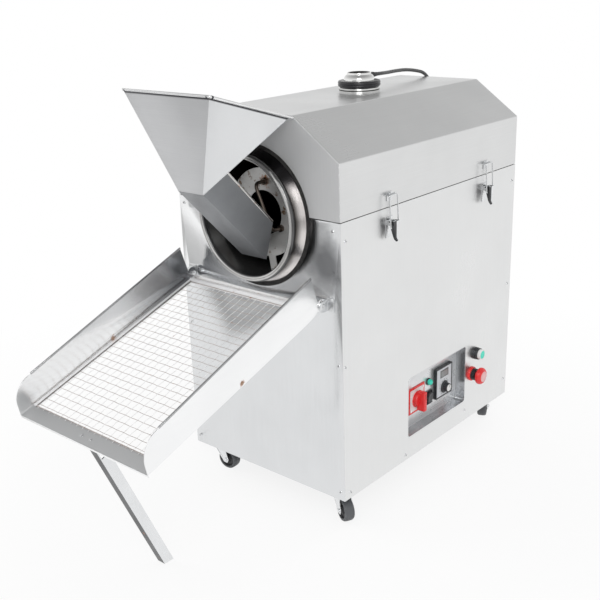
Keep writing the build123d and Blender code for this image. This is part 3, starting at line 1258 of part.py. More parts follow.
def main():
    os.makedirs("parts", exist_ok=True)
    nodes = {
        "base_frame": base_frame(), "front_panel": front_panel(), "right_panel": right_panel(),
        "left_panel": left_panel(), "rear_panel": rear_panel(), "control_pan": control_pan(),
        "mouth_collar": mouth_collar(), "cabinet_fibre": insulation() + [mouth_seal(False)],
        "lid_shell": lid_shell(), "lid_liner": lid_liner(), "lid_fibre": [lid_insulation(), mouth_seal(True)],
        "chamber_trough": chamber_trough(), "heater_rods": heater_rods(),
        "drum": drum(), "mouth_baffle": mouth_baffle(), "baffle_handle": baffle_handle(),
        "left_roller": roller(-1), "right_roller": roller(1),
        "rear_bearing": rear_bearing(), "drum_pulley": pulley(DRUM_PULLEY_R, SHAFT_R, AXIS_Z),
        "motor_pulley": motor_pulley(), "drive_belt": drive_belt(), "gearmotor": gearmotor(),
        "hopper": hopper(), "hopper_arm": hopper_arm(), "tray_pan": tray_pan(), "tray_mesh": tray_mesh(),
        "leg_bracket": leg_bracket(), "tray_leg": tray_leg(),
        "caster_plates": caster_plates(),
        "switch_plates": [isolator_plate(), rocker_frame()], "isolator_knob": isolator_knob(),
        "pilot_lamp": pilot_lamp(), "rocker": rocker(), "speed_controller": speed_controller(),
        "speed_knob": speed_knob(), "button_collars": button_collars(), "start_button": start_button(),
        "stop_button": stop_button(), "latch_bases": latch_bases(), "latch_keepers": latch_keepers(),
        "hinge_body_leaves": hinge_body_leaves(), "hinge_lid_leaves": hinge_lid_leaves(),
        "vent_ring": vent_ring(), "vent_dome": vent_dome(),
        "cord_glands": cord_glands(), "vent_cord": vent_cord(), "panel_screws": panel_screws(),
    }
    for name in LATCH_YS:
        nodes[name + "_latch_lever"] = latch_lever(name)
        nodes[name + "_latch_bail"] = latch_bail(name)
    for name in CASTER_HEADINGS:
        nodes[name + "_fork"] = placed_caster(caster_fork(name), name)
        nodes[name + "_wheel"] = placed_caster(caster_wheel(), name)
    groups = {name: solids_of(shape) for name, shape in nodes.items()}
    boxes = {name: [solid.bounding_box() for solid in solids] for name, solids in groups.items()}
    origin = middle_of([box for name in boxes if name != "vent_cord" for box in boxes[name]])
    for name, solids in groups.items():
        save(name, solids, origin)
        low = [round(min(tuple(box.min)[i] for box in boxes[name]), 1) for i in range(3)]
        high = [round(max(tuple(box.max)[i] for box in boxes[name]), 1) for i in range(3)]
        print(name, len(solids), low, high)
    print("nodes", len(nodes), "origin", origin)


main()
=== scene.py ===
# %% [markdown]
# # Seed roasting machine
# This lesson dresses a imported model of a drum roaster: a steel cabinet on casters, a hinged hood, a
# hopper whose chute feeds the drum's mouth, and a sloping sieve tray on a prop leg. The packed
# model is a fixed frame. It gives every piece its place and its body, so this script adds finishes
# and the shapes that light needs.

# %% Load the frame
import bmesh
import bpy
import json
import math
from mathutils import Matrix, Vector


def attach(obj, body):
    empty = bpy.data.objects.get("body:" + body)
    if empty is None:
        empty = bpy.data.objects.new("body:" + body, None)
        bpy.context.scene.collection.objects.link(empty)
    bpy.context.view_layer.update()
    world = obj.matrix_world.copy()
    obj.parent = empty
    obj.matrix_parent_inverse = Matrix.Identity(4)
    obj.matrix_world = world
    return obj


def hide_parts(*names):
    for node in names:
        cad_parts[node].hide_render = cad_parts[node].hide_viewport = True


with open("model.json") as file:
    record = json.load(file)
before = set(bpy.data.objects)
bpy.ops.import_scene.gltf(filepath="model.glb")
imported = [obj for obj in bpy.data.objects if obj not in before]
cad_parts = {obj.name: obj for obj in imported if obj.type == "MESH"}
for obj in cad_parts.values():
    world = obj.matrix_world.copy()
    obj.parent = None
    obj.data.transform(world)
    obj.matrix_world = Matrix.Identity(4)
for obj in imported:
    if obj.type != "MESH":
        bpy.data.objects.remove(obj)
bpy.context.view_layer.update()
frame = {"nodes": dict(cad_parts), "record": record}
nodes = frame["nodes"]

# %% [markdown]
# ## One way to say where things are
# The machine was measured in millimetres from the front panel's outer face, its middle line and the
# floor. The frame counts in metres from under the middle of the whole box. One small function turns
# the first into the second, so every later number can be read off the machine with a rule.

# %% Places on the machine
MIDDLE = Vector((13.0, 100.2, 0.0))
MM = 0.001


def spot(x, y, z):
    """Machine millimetres as a place in the frame."""
    return (Vector((x, y, z)) - MIDDLE) * MM


print("front panel's middle", [round(v, 4) for v in spot(0, 0, 0)])

# %% [markdown]
# ## Camera
# The photograph was measured first: straight cabinet edges give the viewing direction, the lens and
# the distance. The camera is built from those three directions and not aimed by eye, so that edges
# fall where they do in the picture. There is no shift and no depth of field.

# %% Camera at the photograph's viewing angle
IMAGE_SIZE = 600
FOCAL_PIXELS = 927.9
SENSOR_WIDTH = 36.0
CAMERA_PLACE = (1243.4, -1282.9, 1083.8)
yaw, pitch, roll = math.radians(-41.38), math.radians(19.42), math.radians(-1.90)
forward = Vector((math.sin(yaw) * math.cos(pitch), math.cos(yaw) * math.cos(pitch),
                  -math.sin(pitch)))
level = Vector((math.cos(yaw), -math.sin(yaw), 0.0))
upright = level.cross(forward)
right = level * math.cos(roll) + upright * math.sin(roll)
up = upright * math.cos(roll) - level * math.sin(roll)
camera_data = bpy.data.cameras.new("photo_camera")
camera_data.sensor_width = SENSOR_WIDTH
camera_data.lens = FOCAL_PIXELS * SENSOR_WIDTH / IMAGE_SIZE
camera = bpy.data.objects.new("photo_camera", camera_data)
camera.matrix_world = Matrix((right, up, -forward)).transposed().to_4x4()
camera.location = spot(*CAMERA_PLACE)
bpy.context.collection.objects.link(camera)
bpy.context.scene.camera = camera
print("lens", round(camera_data.lens, 2))

# %% [markdown]
# ## The vent's lead
# A glossy black lead runs from the gland on the vent's dome along the hood and over its back edge,
# then back into the hood's rear wall. A mesh tube would need its own bends. A NURBS curve through
# given control points bends evenly like the real thing. A round bevel one metre in radius,
# scaled at each point, gives it its thickness.


# %% Round lines
def round_curve(name, radius, steps):
    """Curve data with a round bevel and closed ends."""
    curve = bpy.data.curves.new(name, "CURVE")
    curve.dimensions = "3D"
    curve.bevel_depth = radius
    curve.bevel_resolution = steps
    curve.use_fill_caps = True
    return curve


def smooth_line(curve, places, resolution):
    """A NURBS line along control points that reaches the first and the last of them."""
    line = curve.splines.new("NURBS")
    line.points.add(len(places) - 1)
    for point, place in zip(line.points, places):
        point.co = (*place, 1.0)
    line.order_u = 3
    line.use_endpoint_u = True
    line.resolution_u = resolution
    return line


# %% Lead
LEAD_POINTS = [
    spot(0, 389, 868.4), spot(0, 419, 868.4), spot(-10, 461, 866), spot(-20, 511, 865),
    spot(-28, 561, 862.5), spot(-34, 610, 856), spot(-38, 658, 846), spot(-38, 690, 812),
    spot(-38, 696.2, 774), spot(-37, 690, 746), spot(-36, 674, 734), spot(-36, 658, 734),
]
LEAD_RADIUS = 4 * MM
lead_curve = round_curve("vent_lead", 1.0, 5)
for point in smooth_line(lead_curve, LEAD_POINTS, 12).points:
    point.radius = LEAD_RADIUS
lead = bpy.data.objects.new("vent_lead", lead_curve)
bpy.context.collection.objects.link(lead)
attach(lead, "lid")
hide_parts("vent_cord")
print("lead points", len(LEAD_POINTS))

# %% [markdown]
# ## Studio
# Stainless steel has almost no colour of its own: it shows the room. The room here is a white sweep
# whose ceiling falls off to grey, so walls that mirror the floor come out bright and the sloping
# hood comes out mid grey. Camera rays see plain white, while the lamps light paint and plastic at a
# plain level.


# %% Materials and nodes
def shader_of(name):
    """A new material with one Principled shader; returns the material, its tree and the shader."""
    made = bpy.data.materials.new(name)
    made.use_nodes = True
    tree = made.node_tree
    return made, tree, tree.nodes["Principled BSDF"]


def add_node(tree, kind, **values):
    """Adds a node, sets plain properties by name and socket values from a dict called sockets."""
    node = tree.nodes.new(kind)
    sockets = values.pop("sockets", {})
    for key, value in values.items():
        setattr(node, key, value)
    for socket, value in sockets.items():
        node.inputs[socket].default_value = value
    return node


def feed(tree, source, node, sockets):
    """Links outputs of one node to inputs of another; sockets says which goes where."""
    for out, into in sockets.items():
        tree.links.new(source.outputs[out], node.inputs[into])


# %% Values and light paths
def map_value(tree, value, low, high, start=0.0, end=1.0):
    """Maps a socket from start..end to low..high, held at both ends."""
    node = add_node(tree, "ShaderNodeMapRange", sockets={1: start, 2: end, 3: low, 4: high})
    tree.links.new(value, node.inputs[0])
    return node.outputs[0]


def joined(tree, operation, first, second):
    """One maths step on two sockets, or on a socket and a number."""
    node = add_node(tree, "ShaderNodeMath", operation=operation)
    for slot, value in enumerate((first, second)):
        if isinstance(value, float):
            node.inputs[slot].default_value = value
        else:
            tree.links.new(value, node.inputs[slot])
    return node.outputs[0]


def light_paths(tree):
    """A Light Path node, and a socket that is 1 for rays that metal or glass sends on."""
    rays = add_node(tree, "ShaderNodeLightPath")
    mirrored = joined(tree, "MAXIMUM", rays.outputs["Is Glossy Ray"],
                      rays.outputs["Is Transmission Ray"])
    return rays, mirrored


# %% World
WHITE = (1.0, 1.0, 1.0, 1.0)
CEILING_LEVEL = 0.36
PAINT_LEVEL = 0.55
scene = bpy.context.scene
scene.view_settings.view_transform = "Standard"
world = bpy.data.worlds.new("white_studio")
scene.world = world
world.use_nodes = True
sky = world.node_tree
backdrop = sky.nodes["Background"]
backdrop.inputs["Color"].default_value = WHITE
direction = add_node(sky, "ShaderNodeTexCoord")
split = add_node(sky, "ShaderNodeSeparateXYZ")
feed(sky, direction, split, {"Generated": 0})
ceiling = map_value(sky, split.outputs["Z"], 1.0, CEILING_LEVEL)
rays, mirrored = light_paths(sky)
ambient = add_node(sky, "ShaderNodeMix", data_type="FLOAT", sockets={2: PAINT_LEVEL})
sky.links.new(mirrored, ambient.inputs[0])
sky.links.new(ceiling, ambient.inputs[3])
strength = add_node(sky, "ShaderNodeMix", data_type="FLOAT", sockets={3: 1.0})
feed(sky, rays, strength, {"Is Camera Ray": 0})
feed(sky, ambient, strength, {0: 2})
feed(sky, strength, backdrop, {0: "Strength"})
print("world", world.name)

# %% [markdown]
# ## Floor
# The paper under the machine is white, and so is its edge in the picture. In the steel it is not
# even: the sheet ends about a metre in front of the machine, and the grey room beyond it is what
# darkens the front panel round the drum. The floor's material gives mirrored rays that fall-off,
# and keeps a soft shadow for the camera.

# %% Floor disc
FLOOR_REACH = 9.0
FLOOR_DROP = 0.0006
bm = bmesh.new()
bmesh.ops.create_circle(bm, cap_ends=True, segments=96, radius=FLOOR_REACH)
floor_mesh = bpy.data.meshes.new("floor")
bm.to_mesh(floor_mesh)
bm.free()
floor = bpy.data.objects.new("floor", floor_mesh)
floor.location = (0.0, 0.0, -FLOOR_DROP)
bpy.context.collection.objects.link(floor)
print("floor reach", FLOOR_REACH)

# %% Floor paper
PAPER = (0.93, 0.93, 0.93, 1.0)
SHEET_FRONT, SHEET_BACK = -2.0, -0.5
MIRRORED_LEVELS = ((0.10, 0.55), (0.30, 0.34), (0.50, 0.34), (0.66, 0.80), (0.80, 1.0))
SHADOW_NEAR, SHADOW_FAR = 0.55, 1.4
SHADOW_SHARE = 0.86
MIRROR_SHARE = 0.9
sweep, tree, paper = shader_of("pale_floor")
paper.inputs["Base Color"].default_value = PAPER
paper.inputs["Roughness"].default_value = 0.9
paper.inputs["Specular IOR Level"].default_value = 0.1
glow = add_node(tree, "ShaderNodeEmission")
rays, mirrored = light_paths(tree)
where = add_node(tree, "ShaderNodeTexCoord")
split = add_node(tree, "ShaderNodeSeparateXYZ")
reach = add_node(tree, "ShaderNodeVectorMath", operation="LENGTH")
feed(tree, where, split, {"Object": 0})
feed(tree, where, reach, {"Object": 0})
falls = add_node(tree, "ShaderNodeValToRGB")
for place, value in MIRRORED_LEVELS:
    stop = falls.color_ramp.elements.new(place)
    stop.color = (value, value, value, 1.0)
falls.color_ramp.elements.remove(falls.color_ramp.elements[0])
falls.color_ramp.elements.remove(falls.color_ramp.elements[-1])
across_sheet = map_value(tree, split.outputs["Y"], 0.0, 1.0, SHEET_FRONT, SHEET_BACK)
tree.links.new(across_sheet, falls.inputs[0])
seen_white = add_node(tree, "ShaderNodeMix", data_type="RGBA", sockets={7: WHITE})
feed(tree, rays, seen_white, {"Is Camera Ray": 0})
feed(tree, falls, seen_white, {0: 6})
feed(tree, seen_white, glow, {2: "Color"})
near = map_value(tree, reach.outputs["Value"], SHADOW_SHARE, 1.0, SHADOW_NEAR, SHADOW_FAR)
plain = joined(tree, "MULTIPLY", rays.outputs["Is Camera Ray"], near)
share = joined(tree, "MAXIMUM", plain, joined(tree, "MULTIPLY", mirrored, MIRROR_SHARE))
blend = add_node(tree, "ShaderNodeMixShader")
tree.links.new(share, blend.inputs[0])
feed(tree, paper, blend, {0: 1})
feed(tree, glow, blend, {0: 2})
feed(tree, blend, tree.nodes["Material Output"], {0: 0})
floor_mesh.materials.append(sweep)
print("floor", sweep.name, "levels", len(MIRRORED_LEVELS))


# %% Lamps
def soft_lamp(name, place, aim, size, power, mirrored=True):
    """A square soft box that points at a spot."""
    data = bpy.data.lights.new(name, "AREA")
    data.size = size
    data.energy = power
    lamp = bpy.data.objects.new(name, data)
    lamp.location = place
    lamp.rotation_euler = (Vector(aim) - Vector(place)).to_track_quat("-Z", "Y").to_euler()
    lamp.visible_glossy = mirrored
    bpy.context.collection.objects.link(lamp)


soft_lamp("key_box", (1.9, -2.2, 2.4), (0.0, 0.0, 0.4), 1.4, 36.0)
soft_lamp("left_box", (-2.4, -1.2, 2.0), (0.0, 0.0, 0.5), 1.8, 24.0, mirrored=False)
soft_lamp("rear_box", (0.6, 2.6, 2.4), (0.0, 0.2, 0.6), 1.8, 20.0, mirrored=False)

# %% [markdown]
# ## What steel sheet shows
# Sheet steel needs three scales of change: fine rolling grain, hand smudges the size of a palm, and
# the slow wave of thin sheet that bends its reflections. One node group gives all three as values,
# and each steel material places the group with its own numbers. The shader itself stays in the
# material.


# %% Sheet surface group
def new_group(name, inputs, outputs):
    """A shader node group with a Vector, some more inputs with their values, and float outputs."""
    group = bpy.data.node_groups.new(name, "ShaderNodeTree")
    group.interface.new_socket("Vector", in_out="INPUT", socket_type="NodeSocketVector")
    for label, value in inputs.items():
        kind = "NodeSocketVector" if isinstance(value, tuple) else "NodeSocketFloat"
        socket = group.interface.new_socket(label, in_out="INPUT", socket_type=kind)
        socket.default_value = value
    for label in outputs:
        group.interface.new_socket(label, in_out="OUTPUT", socket_type="NodeSocketFloat")
    return group, add_node(group, "NodeGroupInput"), add_node(group, "NodeGroupOutput")


UPRIGHT_GRAIN = (900.0, 900.0, 9.0)
PALM = 7.0
NOISE_LOW, NOISE_HIGH = 0.28, 0.72
sheet_surface, given, result = new_group(
    "sheet_surface", {"Stretch": UPRIGHT_GRAIN, "Smudge Scale": PALM, "Wave Scale": 2.2},
    ["Grain", "Smudge", "Wave"])
stretched = add_node(sheet_surface, "ShaderNodeVectorMath", operation="MULTIPLY")
feed(sheet_surface, given, stretched, {"Vector": 0, "Stretch": 1})
for label, scale, detail in (("Grain", None, 2.0), ("Smudge", "Smudge Scale", 5.0),
                             ("Wave", "Wave Scale", 1.0)):
    noise = add_node(sheet_surface, "ShaderNodeTexNoise", sockets={"Scale": 1.0, "Detail": detail})
    if scale:
        feed(sheet_surface, given, noise, {"Vector": "Vector", scale: "Scale"})
    else:
        feed(sheet_surface, stretched, noise, {0: "Vector"})
    spread = map_value(sheet_surface, noise.outputs["Fac"], 0.0, 1.0, NOISE_LOW, NOISE_HIGH)
    sheet_surface.links.new(spread, result.inputs[label])
print("group", sheet_surface.name, len(sheet_surface.nodes))

# %% [markdown]
# ## Marks from work, and painted shade
# Heat browns the steel round the drum's mouth and a rivet or two has bled rust; the drum's dark
# inside is painted shade. Three small groups turn a place into a mask: scattered freckles, a broken
# blot round one point, and a fade that starts at a plane. Any finish can mix their masks into its
# colour, for real marks and for painted shade and painted reflections.

# %% Freckle group
freckle_marks, given, result = new_group("freckle_marks", {"Scale": 60.0, "Cut": 0.62}, ["Mask"])
spots = add_node(freckle_marks, "ShaderNodeTexNoise", sockets={"Detail": 3.0, "Roughness": 0.6})
feed(freckle_marks, given, spots, {"Vector": "Vector", "Scale": "Scale"})
rise = joined(freckle_marks, "SUBTRACT", spots.outputs["Fac"], given.outputs["Cut"])
mask = map_value(freckle_marks, rise, 0.0, 1.0, 0.0, 0.08)
freckle_marks.links.new(mask, result.inputs["Mask"])
print("group", freckle_marks.name, len(freckle_marks.nodes))

# %% Blot group
blot_mark, given, result = new_group(
    "blot_mark", {"Place": (0.0, 0.0, 0.0), "Reach": 0.01, "Ragged Scale": 220.0}, ["Mask"])
away = add_node(blot_mark, "ShaderNodeVectorMath", operation="DISTANCE")
feed(blot_mark, given, away, {"Vector": 0, "Place": 1})
edge = add_node(blot_mark, "ShaderNodeTexNoise", sockets={"Detail": 3.0})
feed(blot_mark, given, edge, {"Vector": "Vector", "Ragged Scale": "Scale"})
ragged = map_value(blot_mark, edge.outputs["Fac"], 0.55, 1.6, 0.3, 0.7)
frayed = joined(blot_mark, "MULTIPLY", away.outputs["Value"], ragged)
far = joined(blot_mark, "DIVIDE", frayed, given.outputs["Reach"])
blot_mark.links.new(map_value(blot_mark, far, 1.0, 0.0, 0.25, 1.0), result.inputs["Mask"])
print("group", blot_mark.name, len(blot_mark.nodes))

# %% Fade group
plane_fade, given, result = new_group(
    "plane_fade", {"Direction": (0.0, 1.0, 0.0), "Start": 0.0, "End": 0.1}, ["Mask"])
along = add_node(plane_fade, "ShaderNodeVectorMath", operation="DOT_PRODUCT")
feed(plane_fade, given, along, {"Vector": 0, "Direction": 1})
fade = add_node(plane_fade, "ShaderNodeMapRange", interpolation_type="SMOOTHSTEP")
feed(plane_fade, along, fade, {"Value": 0})
feed(plane_fade, given, fade, {"Start": 1, "End": 2})
feed(plane_fade, fade, result, {0: "Mask"})
print("group", plane_fade.name, len(plane_fade.nodes))

# %% [markdown]
# ## How a steel finish is put together
# A steel's tone and gloss change together: where grain and smudges are bright, the sheet is also
# smooth. So one mix of both drives its colour and its roughness. The marks are laid over the
# colour, and a bump of grain and sheet wave bends the reflections. Every steel finish is one row of
# numbers for the same function.


# %% Nodes that finishes share
def group_node(tree, group, **sockets):
    """Places a group in a material on Object coordinates and sets its sockets."""
    node = add_node(tree, "ShaderNodeGroup", node_tree=group)
    feed(tree, add_node(tree, "ShaderNodeTexCoord"), node, {"Object": "Vector"})
    for label, value in sockets.items():
        node.inputs[label.replace("_", " ")].default_value = value
    return node


def mixed(tree, factor, low, high):
    """Mixes two colours, each a socket or three numbers, by a 0 to 1 socket."""
    node = add_node(tree, "ShaderNodeMix", data_type="RGBA")
    tree.links.new(factor, node.inputs[0])
    for slot, colour in ((6, low), (7, high)):
        if isinstance(colour, tuple):
            node.inputs[slot].default_value = (*colour, 1.0)
        else:
            tree.links.new(colour, node.inputs[slot])
    return node.outputs[2]


def bumped(tree, shader, height):
    """Bends the shader's normal by a height in metres."""
    bump = add_node(tree, "ShaderNodeBump", sockets={"Strength": 1.0, "Distance": 1.0})
    tree.links.new(height, bump.inputs["Height"])
    feed(tree, bump, shader, {0: "Normal"})


# %% Steel sheet maker
GRAIN_SHARE, SMUDGE_SHARE = 0.35, 0.65
GRAIN_DEPTH = 0.004
finish = {}


def steel_finish(name, dark, bright, rough, stretch, wave=0.0, grain=0.02, smudge_scale=PALM,
                 marks=(), metal=1.0):
    """Metal: colour and roughness from smudges and grain, marks, and a bump from grain and wave."""
    made, tree, shader = shader_of(name)
    shader.inputs["Metallic"].default_value = metal
    surface = group_node(tree, sheet_surface, Stretch=stretch, Smudge_Scale=smudge_scale)
    fine = joined(tree, "MULTIPLY", surface.outputs["Grain"], GRAIN_SHARE)
    broad = joined(tree, "MULTIPLY", surface.outputs["Smudge"], SMUDGE_SHARE)
    tone = joined(tree, "ADD", fine, broad)
    colour = mixed(tree, tone, dark, bright)
    for group, tint, sockets in marks:
        colour = mixed(tree, group_node(tree, group, **sockets).outputs["Mask"], colour, tint)
    tree.links.new(colour, shader.inputs["Base Color"])
    tree.links.new(map_value(tree, tone, rough[1], rough[0]), shader.inputs["Roughness"])
    scratch = joined(tree, "MULTIPLY", surface.outputs["Grain"], grain * GRAIN_DEPTH)
    ripple = joined(tree, "MULTIPLY", surface.outputs["Wave"], wave)
    bumped(tree, shader, joined(tree, "ADD", scratch, ripple))
    return made


def keep_finishes(maker, table):
    """Makes each finish of a table and keeps it by its name."""
    for name, values in table.items():
        finish[name] = maker(name, *values)
    print("finishes made", ", ".join(table))


# %% [markdown]
# ## Cabinet steel
# Each sheet was polished and then handled in its own way. The sides are a satin, the hood is
# coarser, and the front panel is nearly a mirror: its two blots stand for the dark and the bright
# thing that it mirrors beside the drum. A row holds the darkest and brightest tone, the smoothest
# and roughest spot, the way of the grain, the depth of wave and grain, the size of smudges, the
# marks and how metallic it is.

# %% Cabinet steel
LONG_GRAIN = (900.0, 9.0, 900.0)
DARK_BLOT = {"Place": spot(180.0, 0.0, 562.0), "Reach": 0.085, "Ragged_Scale": 16.0}
BRIGHT_BLOT = {"Place": spot(-195.0, 0.0, 590.0), "Reach": 0.16, "Ragged_Scale": 9.0}
keep_finishes(steel_finish, {
    "side_sheet": ((0.76, 0.765, 0.765), (0.80, 0.805, 0.805), (0.26, 0.34), UPRIGHT_GRAIN,
                   0.0005, 0.012),
    "front_sheet": ((0.69, 0.70, 0.71), (0.76, 0.77, 0.78), (0.12, 0.20), UPRIGHT_GRAIN,
                    0.0011, 0.012, PALM, [(blot_mark, (0.29, 0.295, 0.305), DARK_BLOT),
                                          (blot_mark, (0.96, 0.965, 0.97), BRIGHT_BLOT)]),
    "hood_sheet": ((0.70, 0.705, 0.705), (0.76, 0.765, 0.765), (0.26, 0.34), LONG_GRAIN,
                   0.0004, 0.002),
    "hood_front": ((0.64, 0.645, 0.65), (0.72, 0.725, 0.73), (0.40, 0.52), UPRIGHT_GRAIN,
                   0.0004, 0.012, PALM, (), 0.55),
    "recess_sheet": ((0.72, 0.73, 0.74), (0.82, 0.83, 0.84), (0.24, 0.36), LONG_GRAIN,
                     0.0006, 0.01, 20.0, (), 0.7),
    # A darker copy for the recess walls: painted shade.
    "recess_wall_shade": ((0.36, 0.37, 0.385), (0.56, 0.57, 0.585), (0.16, 0.28), LONG_GRAIN,
                    0.0004, 0.01, 24.0, (), 0.8),
})

# %% [markdown]
# ## Hopper steel
# The funnel is duller than the cabinet, and its front faces get a darker copy of its steel: painted
# shade. Its rolled rim is painted brighter, a painted highlight, with a painted shadow line under it,
# and the chute is a darker, less metallic grey that stands for the shade it sits in. The shadow line
# follows the rim's plane, so a fade across that plane makes it: the plane comes from the rim's front
# and back edge.

# %% Hopper steel
CROSS_GRAIN = (9.0, 900.0, 900.0)
RUST = (0.36, 0.15, 0.06)
HOPPER_FRONT = (-207.5, 896.0)
HOPPER_BACK = (-13.0, 837.0)
rim_way = (spot(0, *HOPPER_BACK) - spot(0, *HOPPER_FRONT)).normalized()
rim_up = Vector((1.0, 0.0, 0.0)).cross(rim_way)
rim_level = rim_up.dot(spot(0, *HOPPER_FRONT))
# A painted shadow line just under the rolled rim.
under_hem_shadow = (plane_fade, (0.07, 0.07, 0.075), {
    "Direction": rim_up, "Start": rim_level - 0.0062, "End": rim_level - 0.0040})
keep_finishes(steel_finish, {
    "hopper_sheet": ((0.72, 0.73, 0.74), (0.79, 0.80, 0.81), (0.28, 0.38), CROSS_GRAIN,
                     0.0004, 0.012, PALM, [under_hem_shadow]),
    # A darker copy of the hopper steel for the front faces: painted shade.
    "hopper_shaded_front": ((0.53, 0.535, 0.545), (0.59, 0.595, 0.605), (0.28, 0.38), CROSS_GRAIN,
                     0.0004, 0.012, PALM, [under_hem_shadow]),
    # The chute's dark, less metallic grey is painted shade.
    "chute_shade_sheet": ((0.24, 0.25, 0.265), (0.34, 0.35, 0.365), (0.28, 0.40), CROSS_GRAIN,
                    0.0006, 0.012, 14.0, (), 0.25),
    "rim_steel": ((0.62, 0.61, 0.59), (0.80, 0.79, 0.77), (0.18, 0.32), CROSS_GRAIN,
                  0.0, 0.02, 40.0, [(freckle_marks, RUST, {"Scale": 70.0, "Cut": 0.63})]),
    # The rolled rim's brighter steel is a painted highlight.
    "hem_highlight": ((0.80, 0.805, 0.81), (0.90, 0.905, 0.91), (0.16, 0.28), CROSS_GRAIN,
                  0.0, 0.02, 40.0),
})

# %% [markdown]
# ## Tray steel
# The tray is the brightest sheet. Two rivets have bled rust, the inner walls are a darker copy that
# is painted darker still towards the drum (painted shade), the rolled tops of its walls are painted
# dark (painted shade), and the lip at the front is greyer than the floor. These marks sit at places
# on a tray that leans, so a helper first turns a place on the tray into one on the machine.

# %% Places on the tray
TRAY_PIN_Y, TRAY_PIN_Z, TRAY_PIN_H = -14.0, 487.0, 6.0
TRAY_LEAN = math.radians(18.6)
RIVET_ALONG, RIVET_H = -236.0, 2.0
LIP_ALONG = -443.5


def on_tray(x, along, height):
    """A machine place on the tray: across it, back from its pins, and above its own floor line."""
    rise = height - TRAY_PIN_H
    return (x, TRAY_PIN_Y + along * math.cos(TRAY_LEAN) - rise * math.sin(TRAY_LEAN),
            TRAY_PIN_Z + along * math.sin(TRAY_LEAN) + rise * math.cos(TRAY_LEAN))


tray_rivet_left, tray_rivet_right = [spot(*on_tray(x, RIVET_ALONG, RIVET_H))
                                     for x in (-179.0, 180.0)]
tray_forward = Vector((0.0, -math.cos(TRAY_LEAN), -math.sin(TRAY_LEAN)))
lip_start = tray_forward.dot(spot(*on_tray(0.0, LIP_ALONG, 0.0)))
print("tray rivets", [round(v, 4) for v in (*tray_rivet_left, *tray_rivet_right)])

# %% Tray steel
lip_fade = {"Direction": tray_forward, "Start": lip_start, "End": lip_start + 0.002}
wall_shade = {"Start": spot(0, -250, 0).y, "End": spot(0, -20, 0).y}
keep_finishes(steel_finish, {
    # Dark steel for the rolled tops of the tray's walls: a painted shade line.
    "tray_hem_shade": ((0.40, 0.405, 0.41), (0.56, 0.565, 0.57), (0.14, 0.26), LONG_GRAIN,
                 0.0, 0.02, 40.0),
    "leg_sheet": ((0.74, 0.75, 0.76), (0.82, 0.83, 0.84), (0.22, 0.34), UPRIGHT_GRAIN,
                  0.0004, 0.012, 16.0,
                  [(freckle_marks, (0.34, 0.24, 0.17), {"Scale": 40.0, "Cut": 0.70})]),
    # Near black for the prop leg's front plate: painted shade, with real rust freckles.
    "leg_shade_and_rust": ((0.045, 0.047, 0.05), (0.12, 0.122, 0.126), (0.26, 0.40), UPRIGHT_GRAIN,
                  0.0004, 0.012, 12.0, [(freckle_marks, RUST, {"Scale": 50.0, "Cut": 0.66})]),
    "rusty_rivet": ((0.30, 0.15, 0.08), (0.56, 0.44, 0.36), (0.34, 0.50), CROSS_GRAIN,
                    0.0, 0.02, 160.0),
    "tray_sheet": ((0.90, 0.905, 0.91), (0.96, 0.965, 0.97), (0.16, 0.28), LONG_GRAIN,
                   0.0005, 0.012, PALM,
                   [(blot_mark, RUST, {"Place": tray_rivet_right, "Reach": 0.007})]),
    # Inner walls: a darker copy of the tray steel, painted darker towards the drum as painted shade;
    # the blot at the left rivet is real rust.
    "tray_inside_shade_and_rust": ((0.82, 0.825, 0.83), (0.92, 0.925, 0.93), (0.13, 0.24), LONG_GRAIN,
                    0.0006, 0.012, PALM,
                    [(plane_fade, (0.16, 0.165, 0.175), wall_shade),
                     (blot_mark, RUST, {"Place": tray_rivet_left, "Reach": 0.008})]),
    "tray_floor": ((0.90, 0.90, 0.905), (0.97, 0.97, 0.975), (0.34, 0.46), LONG_GRAIN,
                   0.0005, 0.012, PALM, [(plane_fade, (0.44, 0.445, 0.45), lip_fade)], 0.2),
    "sieve_wire": ((0.46, 0.40, 0.38), (0.66, 0.60, 0.57), (0.26, 0.40), CROSS_GRAIN,
                   0.0, 0.02, 40.0, [(freckle_marks, RUST, {"Scale": 90.0, "Cut": 0.62})]),
    # A lighter copy of the wire's finish for the lengthwise wires: painted highlight; its rust
    # freckles are real.
    "lit_wire": ((0.90, 0.895, 0.89), (0.98, 0.975, 0.97), (0.22, 0.34), LONG_GRAIN,
                  0.0, 0.02, 40.0, [(freckle_marks, RUST, {"Scale": 90.0, "Cut": 0.66})], 0.2),
})

# %% [markdown]
# ## Drum, vent and hardware steel
# The drum's mouth is where the heat is: its collar is heat tinted, with a painted reflection of the
# hopper darkening its top and painted shade along its front edge. Behind the mouth the drum is
# painted dark, and near black within a hand's width: painted shade inside the drum. The vent's base
# is polished with a dark groove. Latch plates, forks and pulleys are plated or plain iron with no
# marks; the latch levers' near black finish is a painted reflection of the dark end of the room.

